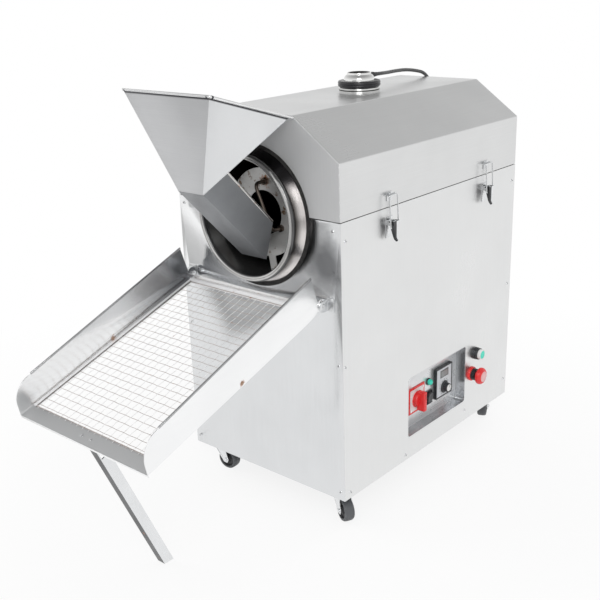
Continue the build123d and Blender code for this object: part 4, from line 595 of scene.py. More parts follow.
# %% Drum steel
# Near black: painted shade deep in the drum, and the vent's dark groove.
NEAR_BLACK = (0.012, 0.011, 0.010)
FORWARD, UPWARD = (0.0, -1.0, 0.0), (0.0, 0.0, 1.0)
mouth_y = spot(0.0, -32.5, 0.0).y
collar_front_shade = {"Direction": FORWARD, "Start": 0.106, "End": 0.118}
collar_top_reflection = {"Direction": UPWARD, "Start": 0.672, "End": 0.720}
handle_nut = {"Place": spot(5.0, 30.0, 699.0), "Reach": 0.014}
neck_shade = {"Start": mouth_y + 0.0005, "End": mouth_y + 0.0020}
drum_shade_start = {"Start": mouth_y + 0.060, "End": mouth_y + 0.15}
keep_finishes(steel_finish, {
    # The collar: heat tint, with painted shade at its front edge and a painted reflection of the
    # hopper darkening its top.
    "heat_tint_and_shade": ((0.40, 0.375, 0.36), (0.90, 0.865, 0.85), (0.14, 0.24), CROSS_GRAIN,
                  0.0004, 0.012, 10.0,
                  [(plane_fade, (0.06, 0.055, 0.05), collar_front_shade),
                   (plane_fade, (0.022, 0.021, 0.022), collar_top_reflection)]),
    # Behind the mouth the drum is painted dark, then near black deeper in: painted shade inside the
    # drum.
    "drum_steel": ((0.50, 0.495, 0.485), (0.70, 0.695, 0.685), (0.10, 0.20), CROSS_GRAIN,
                   0.0003, 0.012, 18.0,
                   [(freckle_marks, RUST, {"Scale": 55.0, "Cut": 0.68}),
                    (plane_fade, (0.12, 0.12, 0.12), neck_shade),
                    (plane_fade, NEAR_BLACK, drum_shade_start)], 0.8),
    "baffle_steel": ((0.66, 0.655, 0.64), (0.86, 0.855, 0.84), (0.26, 0.40), CROSS_GRAIN,
                     0.0003, 0.012, 24.0,
                     [(freckle_marks, (0.24, 0.15, 0.09), {"Scale": 60.0, "Cut": 0.60}),
                      (blot_mark, RUST, handle_nut)], 0.6),
    "burnt_rod": ((0.06, 0.05, 0.045), (0.22, 0.18, 0.15), (0.30, 0.46), CROSS_GRAIN,
                  0.0, 0.02, 60.0),
    "old_trough": ((0.20, 0.18, 0.17), (0.36, 0.33, 0.31), (0.34, 0.50), CROSS_GRAIN,
                   0.0003, 0.02, 9.0),
})

# %% Vent and hardware steel
groove_start = {"Direction": UPWARD, "Start": 0.8415, "End": 0.8420}
groove_end = {"Direction": UPWARD, "Start": 0.8437, "End": 0.8442}
keep_finishes(steel_finish, {
    "bright_zinc": ((0.70, 0.71, 0.72), (0.84, 0.85, 0.86), (0.12, 0.24), UPRIGHT_GRAIN,
                    0.0, 0.02, 60.0),
    "mirror_steel": ((0.72, 0.72, 0.71), (0.86, 0.86, 0.85), (0.05, 0.12), CROSS_GRAIN,
                     0.0, 0.005, 30.0),
    "vent_base": ((0.62, 0.62, 0.61), (0.80, 0.80, 0.79), (0.06, 0.14), CROSS_GRAIN,
                  0.0, 0.005, 30.0,
                  [(plane_fade, NEAR_BLACK, groove_start),
                   (plane_fade, (0.74, 0.74, 0.73), groove_end)]),
    # Near black for the latch levers: a painted reflection of the dark end of the room.
    "latch_shade": ((0.035, 0.036, 0.038), (0.11, 0.112, 0.116), (0.12, 0.24), UPRIGHT_GRAIN,
                    0.0, 0.02, 60.0),
    "machined_iron": ((0.18, 0.18, 0.19), (0.34, 0.34, 0.35), (0.36, 0.52), CROSS_GRAIN,
                      0.0, 0.02, 40.0),
})

# %% [markdown]
# ## Plastic, paint and rubber
# Moulded parts are one colour, but never flat: fine spark texture breaks the gloss, handling dulls
# it, and the colour drifts slightly. The same surface group feeds these shaders with finer numbers.

# %% Moulded finishes
SPARK_GRAIN = (1400.0, 1400.0, 1400.0)


def moulded_finish(name, dark, bright, rough, grain=0.02, scale=30.0):
    """Plastic, rubber or paint with a fine texture and a slow change of colour and gloss."""
    made, tree, shader = shader_of(name)
    surface = group_node(tree, sheet_surface, Stretch=SPARK_GRAIN, Smudge_Scale=scale)
    smudge = surface.outputs["Smudge"]
    tree.links.new(mixed(tree, smudge, dark, bright), shader.inputs["Base Color"])
    tree.links.new(map_value(tree, smudge, rough[1], rough[0]), shader.inputs["Roughness"])
    bumped(tree, shader, joined(tree, "MULTIPLY", surface.outputs["Grain"], grain * GRAIN_DEPTH))
    return made


keep_finishes(moulded_finish, {
    "black_rubber": ((0.012, 0.012, 0.014), (0.030, 0.030, 0.034), (0.16, 0.30)),
    "wheel_rubber": ((0.070, 0.074, 0.080), (0.115, 0.120, 0.128), (0.40, 0.56), 0.05),
    "wheel_core": ((0.016, 0.016, 0.018), (0.034, 0.034, 0.037), (0.34, 0.50), 0.05),
    "fibre_rope": ((0.012, 0.012, 0.012), (0.045, 0.043, 0.041), (0.70, 0.90), 0.2, 120.0),
    "frame_paint": ((0.26, 0.28, 0.30), (0.34, 0.36, 0.38), (0.34, 0.50), 0.05),
    "black_plastic": ((0.016, 0.018, 0.022), (0.034, 0.037, 0.043), (0.24, 0.38), 0.04, 60.0),
    "red_plastic": ((0.80, 0.022, 0.026), (0.92, 0.045, 0.045), (0.18, 0.30), 0.02, 60.0),
    "pale_red": ((0.86, 0.40, 0.40), (0.94, 0.58, 0.58), (0.20, 0.32), 0.02, 60.0),
    "white_plastic": ((0.82, 0.82, 0.81), (0.90, 0.90, 0.89), (0.22, 0.36), 0.02, 60.0),
    "green_plastic": ((0.02, 0.52, 0.33), (0.08, 0.72, 0.50), (0.12, 0.24), 0.02, 60.0),
    "face_silver": ((0.66, 0.68, 0.71), (0.76, 0.78, 0.81), (0.26, 0.38), 0.03, 40.0),
    "rocker_plastic": ((0.055, 0.058, 0.062), (0.085, 0.088, 0.093), (0.26, 0.40), 0.04, 60.0),
    "green_lens": ((0.03, 0.72, 0.52), (0.09, 0.90, 0.68), (0.26, 0.40), 0.01, 60.0),
    "display_grey": ((0.24, 0.25, 0.25), (0.33, 0.34, 0.34), (0.10, 0.20), 0.01, 60.0),
})
lead_curve.materials.append(finish["black_rubber"])

# %% [markdown]
# ## Finishes on the frame's nodes
# Pieces that nobody sees, such as the trough or the gearmotor, are shown as the frame has them, so
# they only need a finish. A table says which nodes share one, and what it leaves out is zinc
# plated. Pieces that are shaped anew below take over the finish of the node they stand for.

# %% Finishes on the frame's nodes
FINISH_OF_NODE = {
    "side_sheet": ["right_panel", "left_panel", "rear_panel"],
    "recess_sheet": ["control_pan"],
    "front_sheet": ["front_panel"],
    "hood_sheet": ["lid_shell", "lid_liner"],
    "hopper_sheet": ["hopper", "hopper_arm"],
    "tray_sheet": ["tray_pan", "tray_leg", "leg_bracket"],
    "sieve_wire": ["tray_mesh"],
    "heat_tint_and_shade": ["mouth_collar"],
    "old_trough": ["chamber_trough"],
    "drum_steel": ["drum"],
    "baffle_steel": ["mouth_baffle"],
    "burnt_rod": ["baffle_handle", "heater_rods"],
    "mirror_steel": ["vent_dome"],
    "machined_iron": ["rear_bearing", "motor_pulley", "drum_pulley"],
    "black_rubber": ["vent_ring", "cord_glands", "drive_belt", "vent_cord"],
    "fibre_rope": ["cabinet_fibre", "lid_fibre"],
    "frame_paint": ["base_frame", "gearmotor"],
    "black_plastic": ["speed_controller", "speed_knob", "button_collars", "rocker", "left_roller",
                      "right_roller"],
    "red_plastic": ["isolator_knob", "stop_button"],
    "white_plastic": ["switch_plates"],
    "green_plastic": ["pilot_lamp", "start_button"],
    "wheel_rubber": [node for node in nodes if node.endswith("_wheel")],
}
coat_of_node = dict.fromkeys(nodes, "bright_zinc")
coat_of_node.update({node: name for name, held in FINISH_OF_NODE.items() for node in held})
for node, piece in nodes.items():
    piece.data.materials.clear()
    piece.data.materials.append(finish[coat_of_node[node]])
print("nodes with a finish", len(nodes))

# %% [markdown]
# ## Shaping tools
# Folded sheet has no razor edges, and light finds every edge. Four helpers do most of the shaping:
# a rounded box, a turned shape spun from a profile, a bar between two places, and a merged copy of
# a frame node with its edges eased. Each adds to a bmesh, and one last helper makes the finished
# piece, so its place stays in its mesh.

# %% Edge helpers
SHARP = 30.0


def once(items):
    """The items without repeats, in their first order, so that every run is the same."""
    return list(dict.fromkeys(items))


def coated(bm, before, coat):
    """Gives the faces made since before their material slot."""
    faces = [face for face in bm.faces if face not in before]
    for face in faces:
        face.material_index = coat
    return faces


def painted(bm, pick):
    """Gives each face the slot that pick chooses from the face's middle and facing."""
    for face in bm.faces:
        face.material_index = pick(face.calc_center_median(), face.normal)


def rounded(bm, edges, width, segments):
    """Rounds edges with a round profile; width in millimetres."""
    bmesh.ops.bevel(bm, geom=edges, offset=width * MM, offset_type="OFFSET", segments=segments,
                    profile=0.5, affect="EDGES", material=-1, clamp_overlap=False)


def soften(bm, faces, width, segments=2, least=SHARP):
    """Rounds the edges of these faces that turn by more than some degrees."""
    rounded(bm, [edge for edge in once(edge for face in faces for edge in face.edges)
                 if len(edge.link_faces) == 2 and edge.calc_face_angle() > math.radians(least)],
            width, segments)


# %% Boxes and turned shapes
RING_WELD = 3e-6


def boxed(bm, low, high, ease=0.0, coat=0, segments=2):
    """A box between two machine places, with eased edges."""
    before = set(bm.faces)
    near, far = spot(*low), spot(*high)
    verts = bmesh.ops.create_cube(bm, size=1.0)["verts"]
    bmesh.ops.scale(bm, vec=far - near, verts=verts)
    bmesh.ops.translate(bm, vec=(near + far) / 2, verts=verts)
    faces = coated(bm, before, coat)
    if ease:
        soften(bm, faces, ease, segments)


def turned(bm, profile, place, axis, steps=40, coat=0, ease=0.0):
    """Spins (radius, height) millimetres round an axis through a place, then eases its rings."""
    before = set(bm.faces)
    axis = Vector(axis).normalized()
    lean = Vector((0.0, 0.0, 1.0)).rotation_difference(axis).to_matrix()
    line = [bm.verts.new(place + lean @ Vector((radius * MM, 0.0, height * MM)))
            for radius, height in profile]
    edges = [bm.edges.new(pair) for pair in zip(line, line[1:])]
    bmesh.ops.spin(bm, geom=line + edges, cent=place, axis=axis, angle=math.tau, steps=steps,
                   use_merge=True)
    made = once(vert for face in bm.faces if face not in before for vert in face.verts)
    bmesh.ops.remove_doubles(bm, verts=made, dist=RING_WELD)
    faces = coated(bm, before, coat)
    bmesh.ops.recalc_face_normals(bm, faces=faces)
    if ease:
        soften(bm, faces, ease)


# %% Bars
HEM_BORE = 0.62


def bar(bm, start, end, radius, steps=12, coat=0, hollow=0.0):
    """A round bar between two machine places; hollow sinks its ends like an open rolled hem's."""
    a, b = spot(*start), spot(*end)
    length = (b - a).length / MM
    inner = radius * HEM_BORE
    near, far = [(0, 0)], [(0, length)]
    if hollow:
        near = [(0, hollow), (inner, hollow), (inner, 0)]
        far = [(inner, length), (inner, length - hollow), (0, length - hollow)]
    turned(bm, near + [(radius, 0), (radius, length)] + far, a, b - a, steps, coat)


def little_bar(bm, middle, edges, coat):
    """A small bar round a place, from its three edges in millimetres."""
    before = set(bm.faces)
    verts = bmesh.ops.create_cube(bm, size=MM)["verts"]
    turn = Matrix(edges).transposed().to_4x4()
    bmesh.ops.transform(bm, matrix=Matrix.Translation(middle) @ turn, verts=verts)
    coated(bm, before, coat)


# %% Finished pieces
CREASE = math.radians(35.0)


def new_piece(name, bm, body, coats, stands_for=(), flat=True):
    """Makes the finished piece of a bmesh: smooth up to a crease, in its finishes, on a body."""
    mesh = bpy.data.meshes.new(name)
    bm.to_mesh(mesh)
    bm.free()
    for coat in coats:
        mesh.materials.append(finish[coat])
    mesh.shade_smooth()
    mesh.set_sharp_from_angle(angle=CREASE)
    piece = bpy.data.objects.new(name, mesh)
    bpy.context.collection.objects.link(piece)
    if flat:
        piece.modifiers.new("flat_sheets", "WEIGHTED_NORMAL").keep_sharp = True
    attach(piece, body)
    if stands_for:
        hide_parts(*stands_for)
    print("piece", name, "faces", len(mesh.polygons))


# %% Eased copies
WELD = 2e-6
FLAT_ANGLE = math.radians(0.6)
FOLD_STEPS = 5
body_of_node = {node: body for body, held in frame["record"]["behaviour"]["bodies"].items()
                for node in held}


def merged_copy(node):
    """A bmesh of a frame node in its place, with its loose triangles merged."""
    bm = bmesh.new()
    bm.from_mesh(nodes[node].data)
    bm.transform(nodes[node].matrix_world)
    bmesh.ops.remove_doubles(bm, verts=bm.verts, dist=WELD)
    return bm


def eased(node, name, width, coats=None, folds=None, fold_radius=0.0, paint=None, flat=True):
    """Stands in for a node with a copy whose edges are rounded; folds get a larger radius."""
    bm = merged_copy(node)
    bmesh.ops.dissolve_limit(bm, angle_limit=FLAT_ANGLE, verts=bm.verts, edges=bm.edges)
    painted(bm, paint or (lambda centre, normal: 0))
    if folds:
        rounded(bm, [edge for edge in bm.edges if len(edge.link_faces) == 2 and folds(edge)],
                fold_radius, FOLD_STEPS)
    soften(bm, bm.faces, width)
    bmesh.ops.dissolve_degenerate(bm, dist=WELD, edges=bm.edges)
    new_piece(name, bm, body_of_node[node], coats or [coat_of_node[node]], (node,),
              flat)


# %% [markdown]
# ## Cabinet sheets and hood
# The cabinet is folded from thin sheet, and its folds are where it glints. The panels only need
# their cut edges broken. The hood's folds have a real radius, so those few long edges are picked by
# length and rounded first. The vent's base is welded to the hood and polished, which a second
# finish on the same piece gives.

# %% Cabinet and hood
CUT_EASE = 0.35
HOOD_TOP_Z = 838.0
VENT_Y = 345.0
VENT_REACH = 0.05
vent = spot(0.0, VENT_Y, HOOD_TOP_Z)
for node, name in (("front_panel", "cabinet_front"), ("right_panel", "cabinet_right"),
                   ("left_panel", "cabinet_left"), ("rear_panel", "cabinet_back")):
    eased(node, name, CUT_EASE, flat=node != "front_panel")


def long_fold(edge):
    """True for the hood's long folds between two large sheets."""
    least = min(face.calc_area() for face in edge.link_faces)
    return edge.calc_length() > 0.06 and least > 0.004


def hood_coat(centre, normal):
    """Polish on the vent's base, a duller front wall, satin on the rest."""
    if centre.z > vent.z + 0.0002 and (centre.xy - vent.xy).length < VENT_REACH:
        return 1
    return 2 if normal.y < -0.7 else 0


eased("lid_shell", "hood", 0.3, ["hood_sheet", "vent_base", "hood_front"], long_fold, 2.0,
      hood_coat)
for node, name in (("mouth_collar", "mouth_sleeve"), ("hinge_body_leaves", "hinge_low_leaves"),
                   ("hinge_lid_leaves", "hinge_top_leaves"), ("caster_plates", "caster_tops"),
                   ("baffle_handle", "draw_handle"), ("mouth_baffle", "mouth_plate"),
                   ("hopper_arm", "hopper_carrier")):
    eased(node, name, CUT_EASE)

# %% Tack welds on the hood's front corner
HALF_W = 217.0
TACK_HEIGHTS = (663.0, 688.0, 714.0, 739.0, 753.0)
TACK = [(0, -0.6), (1.5, -0.5), (1.8, 0.1), (1.2, 0.35), (0, 0.45)]
bm = bmesh.new()
for side in (-1, 1):
    for height in TACK_HEIGHTS:
        turned(bm, TACK, spot(side * (HALF_W - 0.5), 0.5, height), (side, -1.0, 0.1), 12)
new_piece("hood_tacks", bm, "lid", ["hood_front"])

# %% [markdown]
# ## Sheet screws
# Pan head screws with a cross recess hold the panels to the frame inside. The frame has plain
# buttons in the right places, so the script reads each button's middle and facing from it and turns
# a domed head there. The recess is not cut: a black cross of small bars set into the head stands
# for it, painted shade. One head is only a few dozen faces, because it is repeated.

# %% Where the screws sit
CABINET_LENGTH = 654.0


def shells(bm):
    """The corners of each separate shell of a bmesh."""
    found, seen = [], set()
    for start in bm.verts:
        if start in seen:
            continue
        seen.add(start)
        shell, ends = [], [start]
        while ends:
            vert = ends.pop()
            shell.append(vert.co.copy())
            fresh = [edge.other_vert(vert) for edge in vert.link_edges]
            fresh = [other for other in fresh if other not in seen]
            seen.update(fresh)
            ends += fresh
        found.append(shell)
    return found


def screw_seat(shell):
    """Where a button meets its panel, and the way it faces: out from the cabinet's middle."""
    low = Vector([min(corner[k] for corner in shell) for k in range(3)])
    high = Vector([max(corner[k] for corner in shell) for k in range(3)])
    seat = (low + high) / 2
    thin = min(range(3), key=lambda k: (high - low)[k])
    facing = Vector((0.0, 0.0, 0.0))
    facing[thin] = 1.0 if seat[thin] > spot(0.0, CABINET_LENGTH / 2, 0.0)[thin] else -1.0
    seat[thin] = low[thin] if facing[thin] > 0 else high[thin]
    return seat, facing


bm = merged_copy("panel_screws")
seats = [screw_seat(shell) for shell in shells(bm)]
bm.free()
print("screws", len(seats))

# %% Screws
SCREW = [(0, 0), (3.6, 0), (3.6, 0.4), (3.0, 1.1), (1.9, 1.5), (0, 1.6)]
CROSS_LONG, CROSS_WIDE, CROSS_DEEP = 3.4, 0.8, 1.0
CROSS_MIDDLE = 1.15
bm = bmesh.new()
for place, facing in seats:
    turned(bm, SCREW, place, facing, 18)
    for along in (Vector((facing.y, facing.x, 0.0)), Vector((0.0, 0.0, 1.0))):
        sides = (along * CROSS_LONG, along.cross(facing) * CROSS_WIDE, facing * CROSS_DEEP)
        # A black cross of small bars for the recess: painted shade.
        little_bar(bm, place + facing * CROSS_MIDDLE * MM, sides, 1)
bmesh.ops.recalc_face_normals(bm, faces=bm.faces)
new_piece("sheet_screws", bm, "cabinet", ["bright_zinc", "black_plastic"], ("panel_screws",))

# %% [markdown]
# ## Hopper and chute
# The funnel is four sheets with a rolled hem round its rim. The chute below it is a separate sheet,
# painted darker for the shade it sits in, and its side walls end in rolled edges too. One eased copy
# keeps the form; faces are given their finish by where they are. The hems' open ends show as dark
# dots at the front corner, so those are short hollow rolls painted black: painted shade.

# %% Hopper
HOPPER_LOW = (-164.0, 712.0)
CHUTE_SIDE = Vector((0.0, 0.638, -0.770))
RIM_LOWEST = 0.82
HEM_BAND = 0.0028
chute_level = CHUTE_SIDE.dot(spot(0, *HOPPER_LOW))


def hopper_coat(centre, normal):
    """Painted highlight on the hem at the rim, painted shade on the chute behind the back plate and
    on the front faces, satin on the rest of the funnel.
    """
    if centre.z > RIM_LOWEST and abs(rim_up.dot(centre) - rim_level) < HEM_BAND:
        return 1
    if CHUTE_SIDE.dot(centre) > chute_level + 0.002:
        return 2
    return 3 if normal.y < -0.6 else 0


eased("hopper", "seed_hopper", 0.3, ["hopper_sheet", "hem_highlight", "chute_shade_sheet", "hopper_shaded_front"],
      paint=hopper_coat, flat=False)

# %% Rolled edges of the chute, and the rim hems' ends
CHUTE_RIM = ((-120.5, 747.7), (-7.7, 632.9))
CHUTE_HALF = 55.2
RIM_HALF = 111.5
HEM_R = 2.5
rim_y, rim_z = HOPPER_FRONT
bm = bmesh.new()
for side in (-1, 1):
    top, foot = [(side * CHUTE_HALF, *end) for end in CHUTE_RIM]
    bar(bm, top, foot, 2.4, 14, 0, 6.0)
    # The rim hems' short end rolls are black: painted shade in their open ends.
    bar(bm, (side * (RIM_HALF - 7.5), rim_y, rim_z - 0.06),
        (side * (RIM_HALF - 3.2), rim_y, rim_z - 0.06), HEM_R + 0.05, 14, 1, 1.5)
    y, z = rim_y + 4.0, rim_z - 1.2
    bar(bm, (side * RIM_HALF, y, z), (side * RIM_HALF, y + 4.0, z - 1.21), HEM_R + 0.3, 14, 1, 1.5)
new_piece("rolled_edges", bm, "hopper", ["rim_steel", "black_plastic"])

# %% [markdown]
# ## Sieve tray
# Roasted seed drops on a woven wire sieve. The wires are crimped, each passing over and under its
# crossings, which a flat sheet with holes can't show. Each wire is a NURBS line whose control
# points step above and below the sieve's plane. The lines get a round bevel and become one mesh,
# and bars bind the sieve to the pan. The lengthwise wires get a lighter copy of the wire's finish,
# a painted highlight, and the two side bars are dark, a painted shade line along the sieve's edges.

# %% Tray pan
WALL_X = 179.0
WALL_BACK_H, WALL_BACK_ALONG = 73.0, -8.0
WALL_RISE = 19.0 / 459.0
HEM_REACH = 2.4
tray_up = Vector((0.0, -math.sin(TRAY_LEAN), math.cos(TRAY_LEAN)))


def tray_coat(centre, normal):
    """Painted shade on the rolled tops of the side walls; the inner walls get a darker copy, also
    painted shade, and the floor has its own finish.
    """
    offset = (centre - spot(0.0, TRAY_PIN_Y, TRAY_PIN_Z)) / MM
    along = offset.y * math.cos(TRAY_LEAN) + offset.z * math.sin(TRAY_LEAN)
    height = offset.dot(tray_up) + TRAY_PIN_H
    top = WALL_BACK_H + (along - WALL_BACK_ALONG) * WALL_RISE
    if height > top - HEM_REACH and abs(abs(offset.x) - WALL_X) < HEM_REACH:
        return 1
    if normal.dot(tray_up) > 0.9:
        return 3
    return 2 if normal.x * offset.x < 0.0 and abs(normal.x) > 0.9 else 0


eased("tray_pan", "sieve_tray", 0.3, ["tray_sheet", "tray_hem_shade", "tray_inside_shade_and_rust", "tray_floor"],
      paint=tray_coat, flat=False)

# %% Woven wires
WIRE_R = 0.5
WIRE_PITCH = 16.9
SIEVE_HALF = 166.0
SIEVE_FRONT, SIEVE_BACK = -444.0, -20.0
SIEVE_H = -2.0
CRIMP = 2 * WIRE_R
columns = [(k - 9.5) * WIRE_PITCH for k in range(20)]
rows = [SIEVE_FRONT + 6.0 + k * WIRE_PITCH for k in range(25)]
weave = round_curve("woven_sieve", WIRE_R * MM, 1)
weave.resolution_u = 2
for coat in ("sieve_wire", "lit_wire"):
    weave.materials.append(finish[coat])


def crimped(first, crossings, last, odd):
    """How far along and how high a wire is: over and under its crossings in turn."""
    steps = [(far, SIEVE_H + (CRIMP if (k + odd) % 2 else -CRIMP))
             for k, far in enumerate(crossings)]
    return [(first, SIEVE_H)] + steps + [(last, SIEVE_H)]


def wire(places, coat):
    """One crimped wire through its control points."""
    smooth_line(weave, [spot(*place) for place in places], 2).material_index = coat


# Lengthwise wires in the lighter finish: painted highlight.
for i, x in enumerate(columns):
    run = crimped(SIEVE_FRONT - 4.0, rows, SIEVE_BACK + 4.0, i)
    wire([on_tray(x, along, height) for along, height in run], 1)
for j, along in enumerate(rows):
    run = crimped(-SIEVE_HALF - 5.0, columns, SIEVE_HALF + 5.0, j + 1)
    wire([on_tray(x, along, height) for x, height in run], 0)
print("wires", len(weave.splines))

# %% Sieve with its binding
BIND_R = 0.75
BIND_H = SIEVE_H + 0.6
BIND_HALF = SIEVE_HALF + 2.0
holder = bpy.data.objects.new("weave_holder", weave)
bpy.context.collection.objects.link(holder)
settled = holder.evaluated_get(bpy.context.evaluated_depsgraph_get())
woven = bpy.data.meshes.new_from_object(settled)
bpy.data.objects.remove(holder)
bm = bmesh.new()
bm.from_mesh(woven)
bmesh.ops.remove_doubles(bm, verts=bm.verts, dist=WELD)
# The two side bars are dark: a painted shade line along the sieve's edges.
for x in (-BIND_HALF, BIND_HALF):
    bar(bm, on_tray(x, SIEVE_FRONT - 2.0, BIND_H), on_tray(x, SIEVE_BACK + 2.0, BIND_H), BIND_R,
        8, 2)
for along in (SIEVE_FRONT, SIEVE_BACK):
    bar(bm, on_tray(-BIND_HALF, along, BIND_H), on_tray(BIND_HALF, along, BIND_H), BIND_R, 8, 0)
new_piece("woven_sieve", bm, "tray", ["sieve_wire", "lit_wire", "burnt_rod"], ("tray_mesh",))

# %% Rivets of the tray
DOME = [(0, 0), (3.5, 0), (3.4, 0.6), (2.7, 1.2), (1.5, 1.6), (0, 1.75)]
bm = bmesh.new()
for x in (-12.5, 12.5):
    turned(bm, DOME, spot(*on_tray(x, -460.0, -2.8)), tray_up, 16)
for x, facing in ((-178.8, 1.0), (-180.0, -1.0), (178.8, -1.0), (180.0, 1.0)):
    turned(bm, DOME, spot(*on_tray(x, RIVET_ALONG, RIVET_H)), (facing, 0.0, 0.0), 16, 1)
new_piece("tray_rivets", bm, "tray", ["bright_zinc", "rusty_rivet"], ())


# %% Prop leg
def faces_sideways(centre, normal):
    """Slot 0 for faces that look left or right, slot 1 for the rest."""
    return 0 if abs(normal.x) > 0.5 else 1


# The leg's front plate gets the near black finish, painted shade; faces that look sideways keep
# bright steel.
eased("tray_leg", "prop_leg", 0.4, ["leg_sheet", "leg_shade_and_rust"], paint=faces_sideways)
eased("leg_bracket", "leg_clevis", 0.4, ["bright_zinc"])

# %% [markdown]
# ## Latches
# Two draw latches pull the hood down. Each lever is a pressed channel, wide at its pivot and narrow
# at the thumb end, with a small ball on its tip. A box is tapered and its open sides removed, and
# solidify gives what is left the thickness of pressed sheet. The levers are polished, and what they
# mirror is painted in: the channel is cut along its middle, the outer face of the back half gets
# bright zinc for the bright end of the room, and the rest a near black painted reflection of the
# dark end. The base, hook and wire loop only need their edges eased.


# %% Boxes on the right side
def side_box(bm, place, out, across, high, ease=0.0, coat=0, segments=2):
    """A box on the right side, from how far it reaches out, across and up from a place."""
    low, far = [[middle + reach for middle, reach in zip(place, ends)]
                for ends in zip(out, across, high)]
    boxed(bm, low, far, ease, coat, segments)


def moved_verts(result):
    """The vertices that an extrude made."""
    return [item for item in result["geom"] if isinstance(item, bmesh.types.BMVert)]


# %% Latch lever
PIVOT_X, PIVOT_Z = 226.0, 620.0
PRESSED_SHEET = 1.3
LEVER_BALL = [(0, -3.0), (1.8, -2.4), (2.9, -1.0), (2.9, 1.0), (1.8, 2.4), (0, 3.0)]


def latch_lever(name, y):
    """A tapered channel that hangs from the latch's pivot."""
    bm = bmesh.new()
    pivot = (PIVOT_X, y, PIVOT_Z)
    side_box(bm, pivot, (-3.0, 9.5), (-9.9, 9.9), (-27.0, 5.0))
    low = [vert for vert in bm.verts if vert.co.z < spot(0, 0, PIVOT_Z - 10.0).z]
    from_pivot = Matrix.Translation(-spot(*pivot))
    bmesh.ops.scale(bm, vec=(1.0, 0.52, 1.0), space=from_pivot, verts=low)
    inner = [vert for vert in low if vert.co.x < spot(PIVOT_X, 0, 0).x]
    bmesh.ops.translate(bm, vec=(7.5 * MM, 0.0, 0.0), verts=inner)
    bm.normal_update()
    foot = [face for face in bm.faces if face.normal.z < -0.9]
    tip = moved_verts(bmesh.ops.extrude_face_region(bm, geom=foot))
    bmesh.ops.translate(bm, vec=(2.4 * MM, 0.0, -6.0 * MM), verts=tip)
    bmesh.ops.scale(bm, vec=(1.0, 0.8, 1.0), space=from_pivot, verts=tip)
    bmesh.ops.delete(bm, geom=foot, context="FACES_ONLY")
    bm.normal_update()
    open_sides = [face for face in bm.faces if face.normal.z > 0.9
                  or (face.normal.x < -0.5 and face.normal.z > -0.8)]
    bmesh.ops.delete(bm, geom=open_sides, context="FACES_ONLY")
    bmesh.ops.recalc_face_normals(bm, faces=bm.faces)
    bmesh.ops.solidify(bm, geom=bm.faces[:], thickness=PRESSED_SHEET * MM)
    bmesh.ops.recalc_face_normals(bm, faces=bm.faces)
    middle_y = spot(0.0, y, 0.0).y
    bmesh.ops.bisect_plane(bm, geom=bm.verts[:] + bm.edges[:] + bm.faces[:],
                           plane_co=(0.0, middle_y, 0.0), plane_no=(0.0, 1.0, 0.0))
    soften(bm, bm.faces, CUT_EASE, least=40.0)
    turned(bm, LEVER_BALL, spot(PIVOT_X + 9.2, y, PIVOT_Z - 33.5), (0.0, 1.0, 0.0), 14)
    bm.normal_update()
    # Bright zinc on the back half's outer face, near black elsewhere: painted reflections.
    painted(bm, lambda centre, normal: int(normal.x > 0.8 and centre.y > middle_y))
    new_piece(name + "_latch_channel", bm, name + "_latch_lever", ["latch_shade", "bright_zinc"],
              (name + "_latch_lever",))


# %% Latches
LATCH_YS = {"front": 152.0, "rear": 515.0}
for name, y in LATCH_YS.items():
    latch_lever(name, y)
    eased(name + "_latch_bail", name + "_latch_loop", 0.2)
eased("latch_bases", "latch_plates", 0.3)
eased("latch_keepers", "latch_hooks", 0.5)

# %% [markdown]
# ## Control recess
# The switches sit in a pressed pan so that they can't be knocked. Its floor is as bright as the
# panel, while its walls, which mirror each other, get a darker copy of the steel: painted shade in
# the recess. The pan's inner folds get a press radius.


# %% Recess
def pan_floor(edge):
    """True for the folds round the pan's floor."""
    largest = max(face.calc_area() for face in edge.link_faces)
    return largest > 0.02 and edge.calc_face_angle() > 1.0


eased("control_pan", "control_recess", 0.25, ["recess_sheet", "recess_wall_shade"], pan_floor, 1.0,
      faces_sideways)

# %% [markdown]
# ## Isolator and rocker
# The isolator is a red plate with a white face and a red pistol grip that turns on a round hub. The
# small rocker beside it tilts in a black frame. Boxes with eased edges, an inset for the frame's
# pocket and a turned hub make them; the grip is one long box with well rounded edges.

# %% Isolator
FACE_X = 191.0
OUT = Vector((1.0, 0.0, 0.0))
ISOLATOR = (292.0, 180.0)
plate = (FACE_X, *ISOLATOR)
bm = bmesh.new()
side_box(bm, plate, (0, 2.2), (-31, 31), (-31, 31), 0.8, 1)
side_box(bm, plate, (1.0, 3.0), (-26, 26), (-26, 26), 0.5)
turned(bm, [(0, 0), (19, 0), (19, 3.6), (17.5, 5), (0, 5)], spot(*plate), OUT, 40, 1, 0.4)
for corner in (-23, 23):
    screw = spot(FACE_X + 2.6, *[middle + corner for middle in ISOLATOR])
    turned(bm, [(0, 0), (3.0, 0), (3.0, 1.2), (0, 1.6)], screw, OUT, 14, 2)
new_piece("isolator_base", bm, "cabinet", ["white_plastic", "red_plastic", "bright_zinc"],
          ("switch_plates",))
bm = bmesh.new()
grip = (FACE_X + 5.4, *ISOLATOR)
turned(bm, [(0, 0), (17, 0), (17, 4.5), (15.5, 7), (0, 7.6)], spot(*grip), OUT, 40, 0, 0.5)
side_box(bm, grip, (0, 21), (-6, 6), (-25, 22), 3.2, 0, 4)
side_box(bm, grip, (20.6, 21.0), (-0.9, 0.9), (4, 17), 0.0, 1)
new_piece("isolator_grip", bm, "isolator_knob", ["red_plastic", "white_plastic"],
          ("isolator_knob",))


